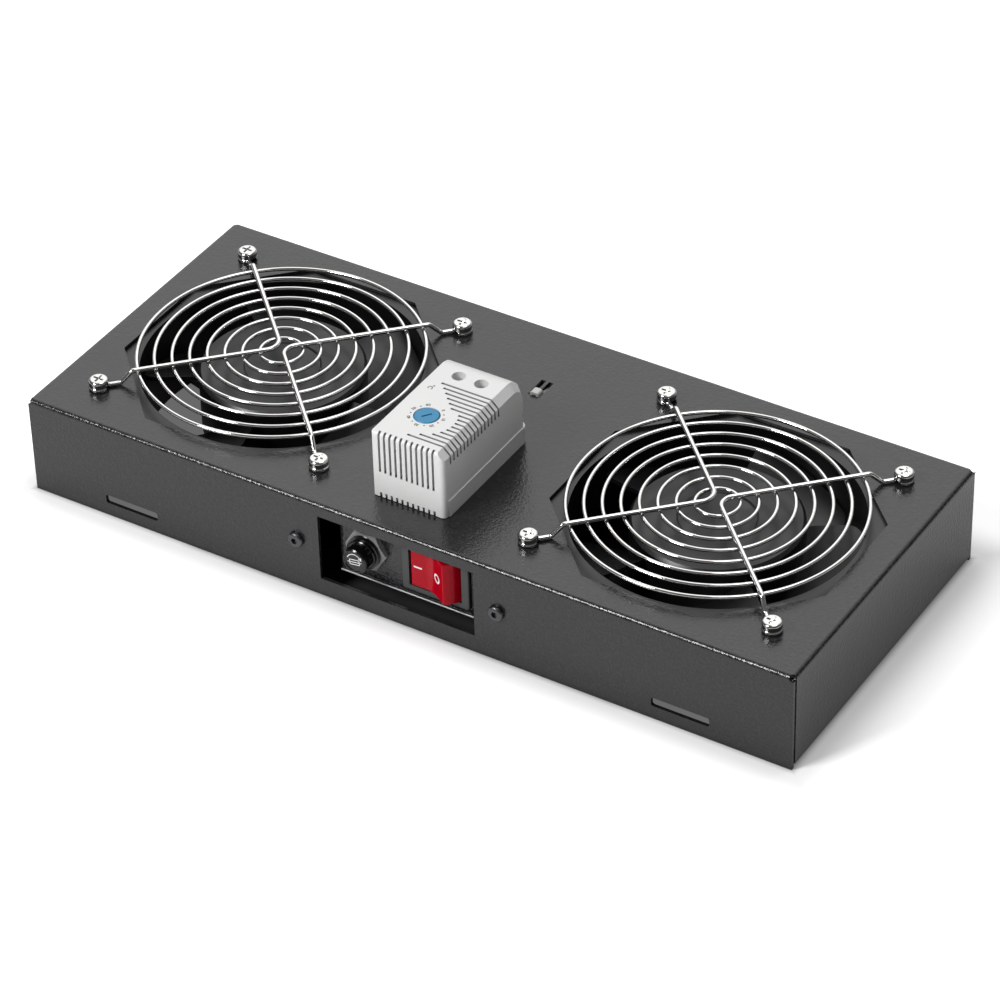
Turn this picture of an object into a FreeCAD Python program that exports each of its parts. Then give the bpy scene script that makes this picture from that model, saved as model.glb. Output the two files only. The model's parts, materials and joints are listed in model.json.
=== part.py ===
import FreeCAD, Part
import math
import os

# Rack fan tray: a folded sheet-steel tray that carries two mains fans, a thermostat on its top
# plate, and a fuse holder and a rocker switch in a window of its front flange.
# Millimetres. X runs along the front, Y from the front to the back, Z up.
# The origin is under the middle of the tray, on the surface that it stands on.

V = FreeCAD.Vector
X, Y, Z = V(1, 0, 0), V(0, 1, 0), V(0, 0, 1)
os.makedirs("parts", exist_ok=True)

# ---- running gaps and seats --------------------------------------------------------------------
PAST = 1.0                 # how far a cutting tool runs past the surface that it opens
NEAR = 0.1                 # how close an edge lies to the place where it is looked for
ARC_SHARE = 0.45           # of the shorter run beside a lead's bend, taken up by its arc
SLIP = 0.2                 # gap round a fixed piece in its seat
RUNNING = 0.3              # gap between pieces that move past each other
SHAFT_PLAY = 0.05          # radial play of a shaft or pin in its bore

# ---- tray --------------------------------------------------------------------------------------
TRAY_WIDTH = 346.0
TRAY_DEPTH = 146.0
TRAY_HEIGHT = 44.0
SHEET = 1.5
BEND_INSIDE = 0.5          # inner radius of every fold
CORNER_SLIT = 0.4          # open joint behind the end of the front and of the back flange
CORNER_STEP = 0.3          # how far those flanges end inside the side faces
RELIEF_RADIUS = 1.5        # round relief where the folds meet
RELIEF_DEPTH = 1.0         # its middle, in from each outer face
SIDE_LIFT = 2.0            # how far the side flanges stop above the bench

WINDOW_WIDTH = 70.4
WINDOW_HEIGHT = 30.4
WINDOW_DROP = 4.1          # from the underside of the top plate to the window
STRAP_SLOT_WIDTH = 25.0
STRAP_SLOT_HEIGHT = 4.0
STRAP_SLOT_RADIUS = 1.0
STRAP_SLOT_PITCH = 250.5
STRAP_SLOT_Z = 8.0
TIE_SLOT_WIDTH = 2.0       # two slots side by side in the top plate, for the cable tie
TIE_SLOT_LENGTH = 11.0
TIE_BRIDGE = 1.4           # strip of plate between them
TIE_X = 0.2
TIE_FROM_BACK = 37.0       # from the inside of the back flange to the middle of those slots

# ---- fans --------------------------------------------------------------------------------------
FAN_SHIFT = -1.25          # middle of a fan from the middle of its bay, beside the switch panel
FAN_SIZE = 119.4
FAN_DEPTH = 38.0
FAN_HOLE_PITCH = 105.0
FAN_BORE_RADIUS = 57.5
FAN_WALL_RADIUS = 60.5
FAN_FLANGE = 5.0
FAN_CORNER_RADIUS = 6.0
FAN_HOLE_RADIUS = 2.25
OPENING_FLATS = 120.0      # octagonal air opening, across its flats
HUB_RADIUS = 34.0
HUB_WALL = 1.8
HUB_DROP = 1.0             # hub face below the top of the fan frame
HUB_SKIRT = 27.0           # height of the hub
HUB_EDGE = 1.2             # bevel round the hub's face
HUB_DISC_RADIUS = 15.0
HUB_DISC_STEP = 0.5
HUB_DISC_SLOPE = 0.8
HUB_DIMPLE_RADIUS = 1.8
HUB_DIMPLE_FLOOR = 1.2
HUB_DIMPLE_DEPTH = 0.6
BLADES = 5
BLADE_SPAN = 50.0          # degrees that one blade covers
BLADE_TOP_DROP = 4.0       # highest edge of a blade below the top of the fan frame
BLADE_RISE_ROOT = 22.0
BLADE_RISE_TIP = 18.0
BLADE_THICKNESS = 2.0
BLADE_BELLY = 1.6          # camber of a blade
BLADE_CORNER = 7.0
BLADE_TIP_GAP = 0.8
BLADE_ROOT_SINK = 1.1      # how deep a blade stands in the hub's wall
BLANK_PAST_ROOT = 6.0      # how far a blade's curved blank runs past its outline
BLANK_PAST_TIP = 4.0
BLANK_PAST_SIDE = 2.0
LEFT_BLADE_TURN = -28.0    # where the first blade of each fan stands, degrees from +X
RIGHT_BLADE_TURN = 5.0
STRUTS = 5
STRUT_WIDTH = 8.0
STRUT_DEPTH = 4.0
STRUT_SINK = 2.0           # how far a strut runs into the motor's cup
CUP_RADIUS = 32.0
CUP_FLOOR = 3.0
TUBE_WALL = 2.0
BEARING_RADIUS = 5.5
BEARING_WIDTH = 4.0
FAN_SHAFT_RADIUS = 2.0
STATOR_RADIUS = 29.0
STATOR_RIM = 4.35          # width of the pole shoes
STATOR_CORE_RADIUS = 14.5
STATOR_HEIGHT = 12.0
STATOR_POLES = 4
POLE_GAP = 2.0             # between two pole shoes
POLE_WIDTH = 6.0
COIL_WIDTH = 12.0
COIL_LENGTH = 7.0
COIL_OVERHANG = 2.5

# ---- finger guards -----------------------------------------------------------------------------
GUARD_RINGS = 8
GUARD_FIRST_RADIUS = 8.7
GUARD_RING_STEP = 7.05
RING_WIRE = 0.8            # radius of the ring wire
SPOKE_WIRE = 1.0           # radius of the spoke wire
GUARD_LIFT = 3.5           # from the top plate to the rings
WELD = 0.2                 # how deep a spoke is welded into the rings
SPOKE_TURN = 6.0           # from the guard's middle to where a spoke starts to turn
SPOKE_STEP_RUN = 5.0       # length of the step down to the eye
SPOKE_BEND = 2.0           # radius of the two bends of that step
SPOKE_LAND = 4.3           # straight run from the step to the eye
EYE_NECK = 1.5             # radius of the bend into the eye
EYE_LOOP = 290.0           # degrees that the eye goes round its screw

# ---- fasteners ---------------------------------------------------------------------------------
M4_RADIUS = 1.95
M4_HEAD_RADIUS = 4.0
M4_HEAD = 2.8
M4_NUT_FLATS = 7.0
M4_NUT = 3.2
M4_HOLE_RADIUS = 2.25
M3_RADIUS = 1.45
M3_HEAD_RADIUS = 2.8
M3_HEAD = 1.8
M3_HOLE_RADIUS = 1.7
THREAD_SHOW = 1.5          # how far a screw stands out of its nut
PAN_ROUNDING = 0.45        # rounding of a pan head, in head heights
NUT_BEVEL = 0.5
SOCKET_FLATS = 2.5
SOCKET_DEPTH = 1.3
CROSS_WIDTH = 0.9
CROSS_SHARE = 1.15         # length of the cross recess, in head radii
CROSS_DEPTH = 1.4

# ---- switch bracket ----------------------------------------------------------------------------
PANEL_RECESS = 7.5         # panel face behind the face of the front flange
PANEL_WIDTH = 62.0
PANEL_DROP = 33.3          # from the underside of the top plate to the foot of the panel
PANEL_LIP = 9.0
BRACKET_SHEET = 1.5
BRACKET_BEND = 0.6
EAR_WIDTH = 16.0
EAR_HEIGHT = 27.0
EAR_SCREW_PITCH = 91.0
EAR_SCREW_DROP = 19.0      # from the underside of the top plate
EAR_CORNER = 2.0
BUTTON_HEAD_RADIUS = 3.4
BUTTON_HEAD = 2.0
BUTTON_ROUNDING = 0.6      # rounding of a button head, in head heights

# ---- rocker switch -----------------------------------------------------------------------------
SWITCH_X = 14.4
SWITCH_DROP = 16.5         # switch axis below the underside of the top plate
BEZEL_WIDTH = 30.6
BEZEL_HEIGHT = 25.0
BEZEL_THICKNESS = 2.0
BEZEL_CORNER = 1.5
BEZEL_EDGE = 0.8
SWITCH_BODY_WIDTH = 27.0
SWITCH_BODY_HEIGHT = 21.8
SWITCH_BODY_DEPTH = 20.5
ROCKER_RADIUS = 12.2       # end faces of the rocker, about its pins
ROCKER_HALF = 8.8          # from the middle to a ridge
ROCKER_VALLEY = 6.0        # valley of the face, out from the pins
ROCKER_BLEND = 3.08        # half width of the round bottom of the valley
ROCKER_HEIGHT = 19.0
ROCKER_TILT = 15.0         # degrees either way from level
ROCKER_FOOT = 1.7          # rocker behind its pins
ROCKER_SINK = 3.9          # pins behind the panel face
ROCKER_EDGE = 0.45         # rounding of the rocker's face and ridges
ROCKER_PIN_RADIUS = 1.5
ROCKER_PIN_LENGTH = 0.8
TAB_WIDTH = 6.3
TAB_THICKNESS = 0.8
TAB_CORNER = 0.24
TAB_LENGTH = 9.0
TAB_PITCH_X = 14.0
TAB_PITCH_Z = 11.0

# ---- fuse holder -------------------------------------------------------------------------------
FUSE_X = -17.4
FUSE_DROP = 17.8           # fuse axis below the underside of the top plate
FUSE_THREAD_RADIUS = 7.2
FUSE_NECK = 4.1            # threaded neck in front of the panel
FUSE_THREAD_DEPTH = 0.4
FUSE_THREAD_TURNS = 3      # turns of thread in front of the nut
FUSE_NUT_FLATS = 16.4
FUSE_NUT = 2.3
FUSE_NUT_BEVEL = 0.8
FUSE_SHOULDER_RADIUS = 9.0
FUSE_SHOULDER = 2.0
FUSE_BARREL_RADIUS = 6.8
FUSE_BARREL = 22.0         # barrel behind the panel
FUSE_BORE_RADIUS = 5.2
FUSE_END_WALL = 2.0
CAP_COLLAR_RADIUS = 6.3
CAP_COLLAR = 1.0
CAP_GRIP_RADIUS = 5.5
CAP_GRIP = 4.8
CAP_RIM = 0.4              # the face's middle lies this much inside its rim
CAP_RIM_WIDTH = 0.9
CAP_RIM_SLOPE = 0.3
CAP_EDGE = 0.5
CAP_COLLAR_EDGE = 0.3
CAP_PLUG = 9.0
CAP_FLUTES = 18
CAP_FLUTE_RADIUS = 0.45
CAP_FLUTE_START = 1.2      # flutes start this far behind the cap's face
FUSE_RADIUS = 2.5
FUSE_LENGTH = 20.0
FUSE_FERRULE = 5.0
FUSE_FERRULE_WALL = 0.25
FUSE_TAB_WIDTH = 4.8

# ---- thermostat --------------------------------------------------------------------------------
STAT_WIDTH = 32.5
STAT_LENGTH = 60.0
STAT_HEIGHT = 30.5
STAT_X = -3.25
STAT_SETBACK = 16.5        # cover behind the face of the front flange
STAT_WALL = 1.6
STAT_BASE = 7.5
STAT_BASE_STEP = 2.6       # base behind the front of the cover
STAT_BASE_SIDE = 0.4       # base beyond the right side of the cover
STAT_BASE_EDGE = 3.0
STAT_SLANT = 3.1           # slant along the right side, over the top and down the back
STAT_SLANT_SHRINK = 0.4    # how much smaller the slant gets for each mm further inside
STAT_BACK_ROUND = 9.5
STAT_FRONT_ROUND = 1.5
STAT_EDGE_LEFT = 0.8
STAT_EDGE_RIGHT = 2.0
VENTS = 11
VENT_PITCH = 2.42
VENT_WIDTH = 1.0
VENT_FOOT = 12.0           # foot of the long vents above the plate
VENT_OVER = 1.9            # how far a vent runs over the front edge
VENT_OFFSET = -0.8
NOTCH_HEIGHT = 2.3
GROOVES = 15
GROOVE_PITCH = 2.47
GROOVE_WIDTH = 1.0
GROOVE_DEPTH = 0.7
GROOVE_FIRST = 5.0         # first groove behind the front edge
GROOVE_SIDE = 7.0          # how far the grooves run down the side
PLAIN_RADIUS = 12.0        # plain round area about the dial
PLAIN_SLOPE = 46.0         # slope of its straight edge, degrees
PLAIN_OFFSET = 9.8         # that edge from the dial's middle
DIAL_ACROSS = -2.95        # dial from the cover's middle line, and behind its front
DIAL_BEHIND = 18.8
DIAL_RADIUS = 5.0
DIAL_EDGE = 0.4
DIAL_THICKNESS = 2.4
DIAL_PROUD = 0.2
DIAL_STEM_RADIUS = 2.5
DIAL_SLOT_LENGTH = 6.4
DIAL_SLOT_WIDTH = 1.0
DIAL_SLOT_DEPTH = 0.9
DIAL_SLOT_TURN = 48.0
TERMINALS = 2
TERMINAL_PITCH = 10.2
TERMINAL_ACROSS = -0.85
TERMINAL_BEHIND = 46.6
TERMINAL_HOLE = 2.85
TERMINAL_WALL = 1.0
TERMINAL_CHIMNEY = 9.0
TERMINAL_HEAD_RADIUS = 2.4
TERMINAL_HEAD = 1.6
TERMINAL_SHANK_RADIUS = 1.4
TERMINAL_SHANK = 4.0
CORE_WIDTH = 18.0
CORE_ACROSS = -1.35
CORE_BEHIND = 10.5
CORE_LENGTH = 31.0
CORE_LEDGE = 9.5
CORE_LEDGE_HEIGHT = 6.0
CORE_HEIGHT = 12.0
BIMETAL_THICKNESS = 0.6
BIMETAL_HEIGHT = 8.0
BIMETAL_LENGTH = 26.0
STAT_BOSS_RADIUS = 3.0
STAT_BOSS_HEIGHT = 5.0
STAT_SCREW_PLACES = ((-10.15, 6.5), (11.45, 53.1))

# ---- wiring ------------------------------------------------------------------------------------
LEAD = 3.2                 # diameter of every lead
GROMMET_NECK = 3.9
GROMMET_FLANGE = 5.4
GROMMET_LIP = 1.0
GROMMET_ACROSS = -0.75     # from the thermostat's middle line, and behind its front
GROMMET_BEHIND = 43.5
MAINS_X = 34.0
MAINS_DROP = 20.0
MAINS_HOLE = 6.5
MAINS_BORE = 4.0
MAINS_LIP = 2.0
MAINS_LIP_RADIUS = 8.5
MAINS_LIP_TAPER = 0.6
BLOCK_POLES = 5
BLOCK_PITCH = 8.0
BLOCK_DEPTH = 17.0
BLOCK_HEIGHT = 13.0
BLOCK_DROP = 2.0
BLOCK_ENTRY = 2.2          # radius of a wire entry
BLOCK_ENTRY_DEPTH = 5.1
BLOCK_DRIVER_BEHIND = 5.95 # screwdriver hole of a pole, behind the face
BLOCK_DRIVER_DEPTH = 3.25
BLOCK_SLOT = 1.2           # slots between the poles
BLOCK_SCREW_X = 16.0
BLOCK_SCREW_REACH = 6.8    # how far its screws go in
BLOCK_SCREW_SPARE = 0.85   # and the empty bore beyond
LEAD_BOSS = 5.0            # radius of the boss where a fan's lead leaves its frame
LEAD_BOSS_LENGTH = 3.0
LEAD_BOSS_TURN = 20.0
LEAD_RUN_IN = 16.5         # last stretch of a lead, in front of the terminal block
TIE_BAND_SHIFT = 3.3       # band in front of the middle of its slots
TIE_RUN = 5.7              # straight run of the lead on each side of the band
TIE_WIDTH = 3.6
TIE_THICKNESS = 1.1
TIE_HEAD = 5.0

# ---- places that follow from the sizes ---------------------------------------------------------
UNDER = TRAY_HEIGHT - SHEET
FRONT = -TRAY_DEPTH / 2
FRONT_INNER = FRONT + SHEET
BACK_INNER = TRAY_DEPTH / 2 - SHEET
PANEL_Y = FRONT + PANEL_RECESS
PANEL_BACK = PANEL_Y + BRACKET_SHEET
ROOF = UNDER - SLIP
PANEL_FOOT = UNDER - PANEL_DROP
WINDOW_TOP = UNDER - WINDOW_DROP
EAR_SCREW_Z = UNDER - EAR_SCREW_DROP
SWITCH_Z = UNDER - SWITCH_DROP
FUSE_Z = UNDER - FUSE_DROP
FAN_SPACING = PANEL_WIDTH / 2 + TRAY_WIDTH / 2 - SHEET + 2 * FAN_SHIFT
FAN_BOTTOM = UNDER - FAN_DEPTH
HUB_TOP = UNDER - HUB_DROP
HUB_BOTTOM = HUB_TOP - HUB_SKIRT
CUP_TOP = FAN_BOTTOM + CUP_FLOOR
STAT_TOP = TRAY_HEIGHT + STAT_HEIGHT
STAT_LEFT = STAT_X - STAT_WIDTH / 2
STAT_RIGHT = STAT_X + STAT_WIDTH / 2
STAT_FRONT_Y = FRONT + STAT_SETBACK
STAT_BACK_Y = STAT_FRONT_Y + STAT_LENGTH
DIAL_X, DIAL_Y = STAT_X + DIAL_ACROSS, STAT_FRONT_Y + DIAL_BEHIND
TERMINAL_X, TERMINAL_Y = STAT_X + TERMINAL_ACROSS, STAT_FRONT_Y + TERMINAL_BEHIND
CORE_X, CORE_FRONT_Y = STAT_X + CORE_ACROSS, STAT_FRONT_Y + CORE_BEHIND
GROMMET_X, GROMMET_Y = STAT_X + GROMMET_ACROSS, STAT_FRONT_Y + GROMMET_BEHIND
STAT_SCREWS = [(STAT_X + across, STAT_FRONT_Y + behind) for across, behind in STAT_SCREW_PLACES]
BASE_TOP = TRAY_HEIGHT + STAT_BASE
BASE_FLOOR = TRAY_HEIGHT + STAT_WALL
CORE_TOP = BASE_FLOOR + CORE_HEIGHT
BLOCK_TOP = UNDER - BLOCK_DROP
BLOCK_FACE = BACK_INNER - BLOCK_DEPTH
ENTRY_Z = BLOCK_TOP - BLOCK_HEIGHT / 2
MAINS_Z = UNDER - MAINS_DROP
TIE_Y = BACK_INNER - TIE_FROM_BACK
TIE_BAND_Y = TIE_Y - TIE_BAND_SHIFT
EYE_RADIUS = M4_RADIUS + SLIP + SPOKE_WIRE
FAN_CORNERS = [(sx * FAN_HOLE_PITCH / 2, sy * FAN_HOLE_PITCH / 2) for sx in (-1, 1) for sy in (-1, 1)]


# ---- helpers -----------------------------------------------------------------------------------
def box(x0, x1, y0, y1, z0, z1):
    """A box between two corners."""
    return Part.makeBox(x1 - x0, y1 - y0, z1 - z0, V(x0, y0, z0))


def rod(radius, start, end):
    """A round bar from one point to another."""
    along = end.sub(start)
    return Part.makeCylinder(radius, along.Length, start, along)


def prism(points, height, direction):
    """A closed outline of points, pushed along a direction."""
    outline = Part.makePolygon(list(points) + [points[0]])
    return Part.Face(outline).extrude(direction * height)


def hexagon(flats, start, thickness, direction):
    """A hexagonal plate, for nuts and sockets."""
    side = X if abs(direction.x) < abs(direction.y) + abs(direction.z) else Y
    up = direction.cross(side)
    reach = flats / 2 / math.cos(math.radians(30))
    points = []
    for corner in range(6):
        turn = math.radians(60 * corner)
        points.append(start + side * (reach * math.cos(turn)) + up * (reach * math.sin(turn)))
    return prism(points, thickness, direction)


def turned(profile, centre, axis):
    """A turned piece: (radius, distance along the axis) pairs, revolved about the axis."""
    side = X if abs(axis.x) < 0.5 else Y
    points = [centre + side * radius + axis * along for radius, along in profile]
    outline = Part.makePolygon(points + [points[0]])
    return Part.Face(outline).revolve(centre, axis, 360)


def fuse_all(shapes):
    """One solid from shapes that join."""
    result = shapes[0].fuse(shapes[1:]) if len(shapes) > 1 else shapes[0]
    return result.removeSplitter()


def round_edges(shape, radius, wanted):
    """Fillet the edges whose box passes a test."""
    chosen = [edge for edge in shape.Edges if wanted(edge.BoundBox)]
    return shape.makeFillet(radius, chosen)


def rounded_plate(width, height, radius, thickness, centre, across, up):
    """A flat plate with round corners, its face centred on a point and pushed along across x up."""
    square = [centre + across * (sx * width / 2) + up * (sy * height / 2)
              for sx, sy in ((-1, -1), (1, -1), (1, 1), (-1, 1))]
    plate = prism(square, thickness, across.cross(up))
    normal = across.cross(up)

    def is_corner(edge):
        tangent = edge.tangentAt(edge.FirstParameter)
        return abs(tangent.dot(normal)) > 0.99
    return plate.makeFillet(radius, [edge for edge in plate.Edges if is_corner(edge)])


def bent_path(points, radius=None):
    """Straight runs joined by tangent arcs, of one radius or as wide as the runs allow."""
    edges = []
    radii = []
    last = points[0]
    for before, corner, after in zip(points, points[1:], points[2:]):
        back = (before - corner).normalize()
        ahead = (after - corner).normalize()
        turn = math.pi - back.getAngle(ahead)
        shorter = min((before - corner).Length, (after - corner).Length)
        cut = radius * math.tan(turn / 2) if radius else ARC_SHARE * shorter
        radii.append(cut / math.tan(turn / 2))
        first = corner + back * cut
        second = corner + ahead * cut
        middle = corner + (back + ahead).normalize() * (radii[-1] / math.cos(turn / 2) - radii[-1])
        edges.append(Part.LineSegment(last, first).toShape())
        edges.append(Part.Arc(first, middle, second).toShape())
        last = second
    edges.append(Part.LineSegment(last, points[-1]).toShape())
    return edges, radii


def swept(edges, radius):
    """A round bar along joined edges, with its path."""
    path = Part.Wire(edges)
    start = path.OrderedVertexes[0].Point
    first = path.OrderedEdges[0]
    ends = (first.FirstParameter, first.LastParameter)
    place = min(ends, key=lambda end: first.valueAt(end).distanceToPoint(start))
    section = Part.Wire(Part.makeCircle(radius, start, first.tangentAt(place)))
    return path.makePipeShell([section], True, False), path


def lead(route, diameter, name):
    """A round lead along its route; prints its length and its radii."""
    edges, radii = bent_path([V(*point) for point in route])
    tube, path = swept(edges, diameter / 2)
    share = tube.Volume / (path.Length * math.pi * diameter ** 2 / 4)
    print(name, "length %.1f" % path.Length, "volume share %.4f" % share,
          "radii", ["%.1f" % radius for radius in radii])
    return tube


def save(name, *solids):
    """Write one node, as one solid or as a group of separate solids."""
    shape = solids[0] if len(solids) == 1 else Part.makeCompound(list(solids))
    for solid in shape.Solids:
        assert solid.isValid(), name
    shape.exportStep("parts/%s.step" % name)
    print("%-28s %d solids %6d faces %10.1f mm3" % (name, len(shape.Solids), len(shape.Faces), shape.Volume))


# ---- tray --------------------------------------------------------------------------------------
def folded_pan():
    """Top plate with four flanges folded down, open joints at the corners."""
    half_x, half_y = TRAY_WIDTH / 2, TRAY_DEPTH / 2
    outer = box(-half_x, half_x, -half_y, half_y, 0, TRAY_HEIGHT)
    outer = round_edges(outer, BEND_INSIDE + SHEET, lambda b: b.ZMin > TRAY_HEIGHT - SHEET)
    inner_x, inner_y = half_x - SHEET, half_y - SHEET
    inner = box(-inner_x, inner_x, -inner_y, inner_y, -PAST, UNDER)
    inner = round_edges(inner, BEND_INSIDE, lambda b: b.ZMin > UNDER - SHEET)
    pan = outer.cut(inner)
    joint_top = TRAY_HEIGHT - BEND_INSIDE - SHEET
    flange_start = inner_y - CORNER_SLIT
    cuts = []
    for sx in (-1, 1):
        past = sx * (half_x + PAST)
        cuts.append(box(*sorted((sx * inner_x, past)), -flange_start, flange_start, -PAST, SIDE_LIFT))
        for sy in (-1, 1):
            slit = sorted((sy * inner_y, sy * flange_start))
            cuts.append(box(*sorted((sx * (inner_x - PAST), past)), *slit, -PAST, joint_top))
            end = sorted((sy * (half_y + PAST), sy * flange_start))
            cuts.append(box(*sorted((sx * (half_x - CORNER_STEP), past)), *end, -PAST, joint_top))
            relief = V(sx * (half_x - RELIEF_DEPTH), sy * (half_y - RELIEF_DEPTH), TRAY_HEIGHT - RELIEF_DEPTH)
            cuts.append(Part.makeSphere(RELIEF_RADIUS, relief))
    return pan.cut(cuts)


def octagon_cut(fan_x):
    """Air opening of one fan."""
    reach = OPENING_FLATS / 2 / math.cos(math.pi / 8)
    turns = [math.pi / 8 + corner * math.pi / 4 for corner in range(8)]
    points = [V(fan_x + reach * math.cos(turn), reach * math.sin(turn), UNDER - PAST) for turn in turns]
    return prism(points, SHEET + 2 * PAST, Z)


def strap_slot_cut(x):
    """Rounded slot low in the front flange."""
    centre = V(x, FRONT + SHEET + PAST, STRAP_SLOT_Z)
    return rounded_plate(STRAP_SLOT_WIDTH, STRAP_SLOT_HEIGHT, STRAP_SLOT_RADIUS, SHEET + 2 * PAST, centre, X, Z)


def tray_chassis():
    """Folded tray with every opening in it."""
    pan = folded_pan()
    cuts = [box(-WINDOW_WIDTH / 2, WINDOW_WIDTH / 2, FRONT - PAST, FRONT_INNER + PAST,
                WINDOW_TOP - WINDOW_HEIGHT, WINDOW_TOP)]
    for sx in (-1, 1):
        cuts.append(octagon_cut(sx * FAN_SPACING / 2))
        cuts.append(strap_slot_cut(sx * STRAP_SLOT_PITCH / 2))
        ear_hole = V(sx * EAR_SCREW_PITCH / 2, FRONT - PAST, EAR_SCREW_Z)
        cuts.append(rod(M4_HOLE_RADIUS, ear_hole, ear_hole + Y * (SHEET + 2 * PAST)))
        block_hole = V(sx * BLOCK_SCREW_X, BACK_INNER - PAST, ENTRY_Z)
        cuts.append(rod(M3_HOLE_RADIUS, block_hole, block_hole + Y * (SHEET + 2 * PAST)))
        for x, y in FAN_CORNERS:
            hole = V(sx * FAN_SPACING / 2 + x, y, UNDER - PAST)
            cuts.append(rod(M4_HOLE_RADIUS, hole, hole + Z * (SHEET + 2 * PAST)))
    for x, y in STAT_SCREWS:
        hole = V(x, y, UNDER - PAST)
        cuts.append(rod(M3_HOLE_RADIUS, hole, hole + Z * (SHEET + 2 * PAST)))
    grommet = V(GROMMET_X, GROMMET_Y, UNDER - PAST)
    cuts.append(rod(GROMMET_NECK + SLIP / 2, grommet, grommet + Z * (SHEET + 2 * PAST)))
    mains = V(MAINS_X, BACK_INNER - PAST, MAINS_Z)
    cuts.append(rod(MAINS_HOLE, mains, mains + Y * (SHEET + 2 * PAST)))
    for sx in (-1, 1):
        near, far = TIE_X + sx * TIE_BRIDGE / 2, TIE_X + sx * (TIE_BRIDGE / 2 + TIE_SLOT_WIDTH)
        cuts.append(box(*sorted((near, far)), TIE_Y - TIE_SLOT_LENGTH / 2, TIE_Y + TIE_SLOT_LENGTH / 2,
                        UNDER - PAST, TRAY_HEIGHT + PAST))
    return pan.cut(cuts)


# ---- switch bracket ----------------------------------------------------------------------------
def switch_bracket():
    """Folded bracket: a recessed panel under a roof, with an apron and two ears behind the flange."""
    half = PANEL_WIDTH / 2
    outer = box(-half, half, PANEL_Y, PANEL_BACK + PANEL_LIP, PANEL_FOOT, ROOF)
    outer = round_edges(outer, BRACKET_BEND + BRACKET_SHEET,
                        lambda b: b.YMax < PANEL_Y + SLIP and (b.ZMax - b.ZMin > SLIP or b.ZMax < PANEL_FOOT + SLIP))
    inner_half = half - BRACKET_SHEET
    inner = box(-inner_half, inner_half, PANEL_BACK, PANEL_BACK + PANEL_LIP + PAST,
                PANEL_FOOT + BRACKET_SHEET, ROOF - BRACKET_SHEET)
    dish = outer.cut(inner)
    roof = box(-half, half, FRONT_INNER, PANEL_BACK + PANEL_LIP, ROOF - BRACKET_SHEET, ROOF)
    apron_back = FRONT_INNER + BRACKET_SHEET
    apron = box(-half, half, FRONT_INNER, apron_back, WINDOW_TOP + RUNNING, ROOF)
    pieces = [dish, roof, apron]
    ear_start = WINDOW_WIDTH / 2 + PAST
    for sx in (-1, 1):
        ear_ends = sorted((sx * ear_start, sx * (ear_start + EAR_WIDTH)))
        ear = box(*ear_ends, FRONT_INNER, apron_back, ROOF - EAR_HEIGHT, ROOF)
        ear = round_edges(ear, EAR_CORNER, lambda b: b.YMax - b.YMin > SLIP and b.ZMax < ROOF - PAST)
        neck = box(*sorted((sx * (half - PAST), sx * (ear_start + PAST))), FRONT_INNER, apron_back,
                   WINDOW_TOP + RUNNING, ROOF)
        pieces += [ear, neck]
    bracket = fuse_all(pieces)
    bracket = round_edges(bracket, BRACKET_BEND + BRACKET_SHEET / 2,
                          lambda b: b.YMax < FRONT_INNER + SLIP and b.ZMin > ROOF - SLIP)
    cuts = [box(SWITCH_X - SWITCH_BODY_WIDTH / 2 - SLIP, SWITCH_X + SWITCH_BODY_WIDTH / 2 + SLIP,
                PANEL_Y - PAST, PANEL_BACK + PAST,
                SWITCH_Z - SWITCH_BODY_HEIGHT / 2 - SLIP, SWITCH_Z + SWITCH_BODY_HEIGHT / 2 + SLIP)]
    fuse_axis = V(FUSE_X, PANEL_Y - PAST, FUSE_Z)
    cuts.append(rod(FUSE_THREAD_RADIUS + SLIP / 2, fuse_axis, fuse_axis + Y * (BRACKET_SHEET + 2 * PAST)))
    for sx in (-1, 1):
        hole = V(sx * EAR_SCREW_PITCH / 2, FRONT_INNER - PAST, EAR_SCREW_Z)
        cuts.append(rod(M4_HOLE_RADIUS, hole, hole + Y * (BRACKET_SHEET + 2 * PAST)))
    return bracket.cut(cuts)


# ---- fasteners ---------------------------------------------------------------------------------
def pan_screw(seat, out, head_radius, head, shank_radius, length):
    """Pan-head screw with a cross recess: seat is under its head and out points to the head."""
    dome = Part.makeCylinder(head_radius, head, seat, out)
    top = seat + out * head
    far = [edge for edge in dome.Edges if edge.CenterOfMass.distanceToPoint(top) < NEAR]
    dome = dome.makeFillet(head * PAN_ROUNDING, far)
    shank = Part.makeCylinder(shank_radius, length, seat, out * -1)
    side = X if abs(out.x) < 0.5 else Y
    other = out.cross(side)
    reach = head_radius * CROSS_SHARE / 2
    recess = []
    for along, across in ((side, other), (other, side)):
        corner = [top + along * (sa * reach) + across * (sb * CROSS_WIDTH / 2) + out * PAST
                  for sa, sb in ((-1, -1), (1, -1), (1, 1), (-1, 1))]
        recess.append(prism(corner, CROSS_DEPTH + PAST, out * -1))
    return fuse_all([dome, shank]).cut(recess)


def socket_screw(seat, out, length):
    """Low button-head screw with a hexagon socket."""
    dome = Part.makeCylinder(BUTTON_HEAD_RADIUS, BUTTON_HEAD, seat, out)
    top = seat + out * BUTTON_HEAD
    far = [edge for edge in dome.Edges if edge.CenterOfMass.distanceToPoint(top) < NEAR]
    dome = dome.makeFillet(BUTTON_HEAD * BUTTON_ROUNDING, far)
    shank = Part.makeCylinder(M4_RADIUS, length, seat, out * -1)
    socket = hexagon(SOCKET_FLATS, top + out * PAST, SOCKET_DEPTH + PAST, out * -1)
    return fuse_all([dome, shank]).cut(socket)


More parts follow.
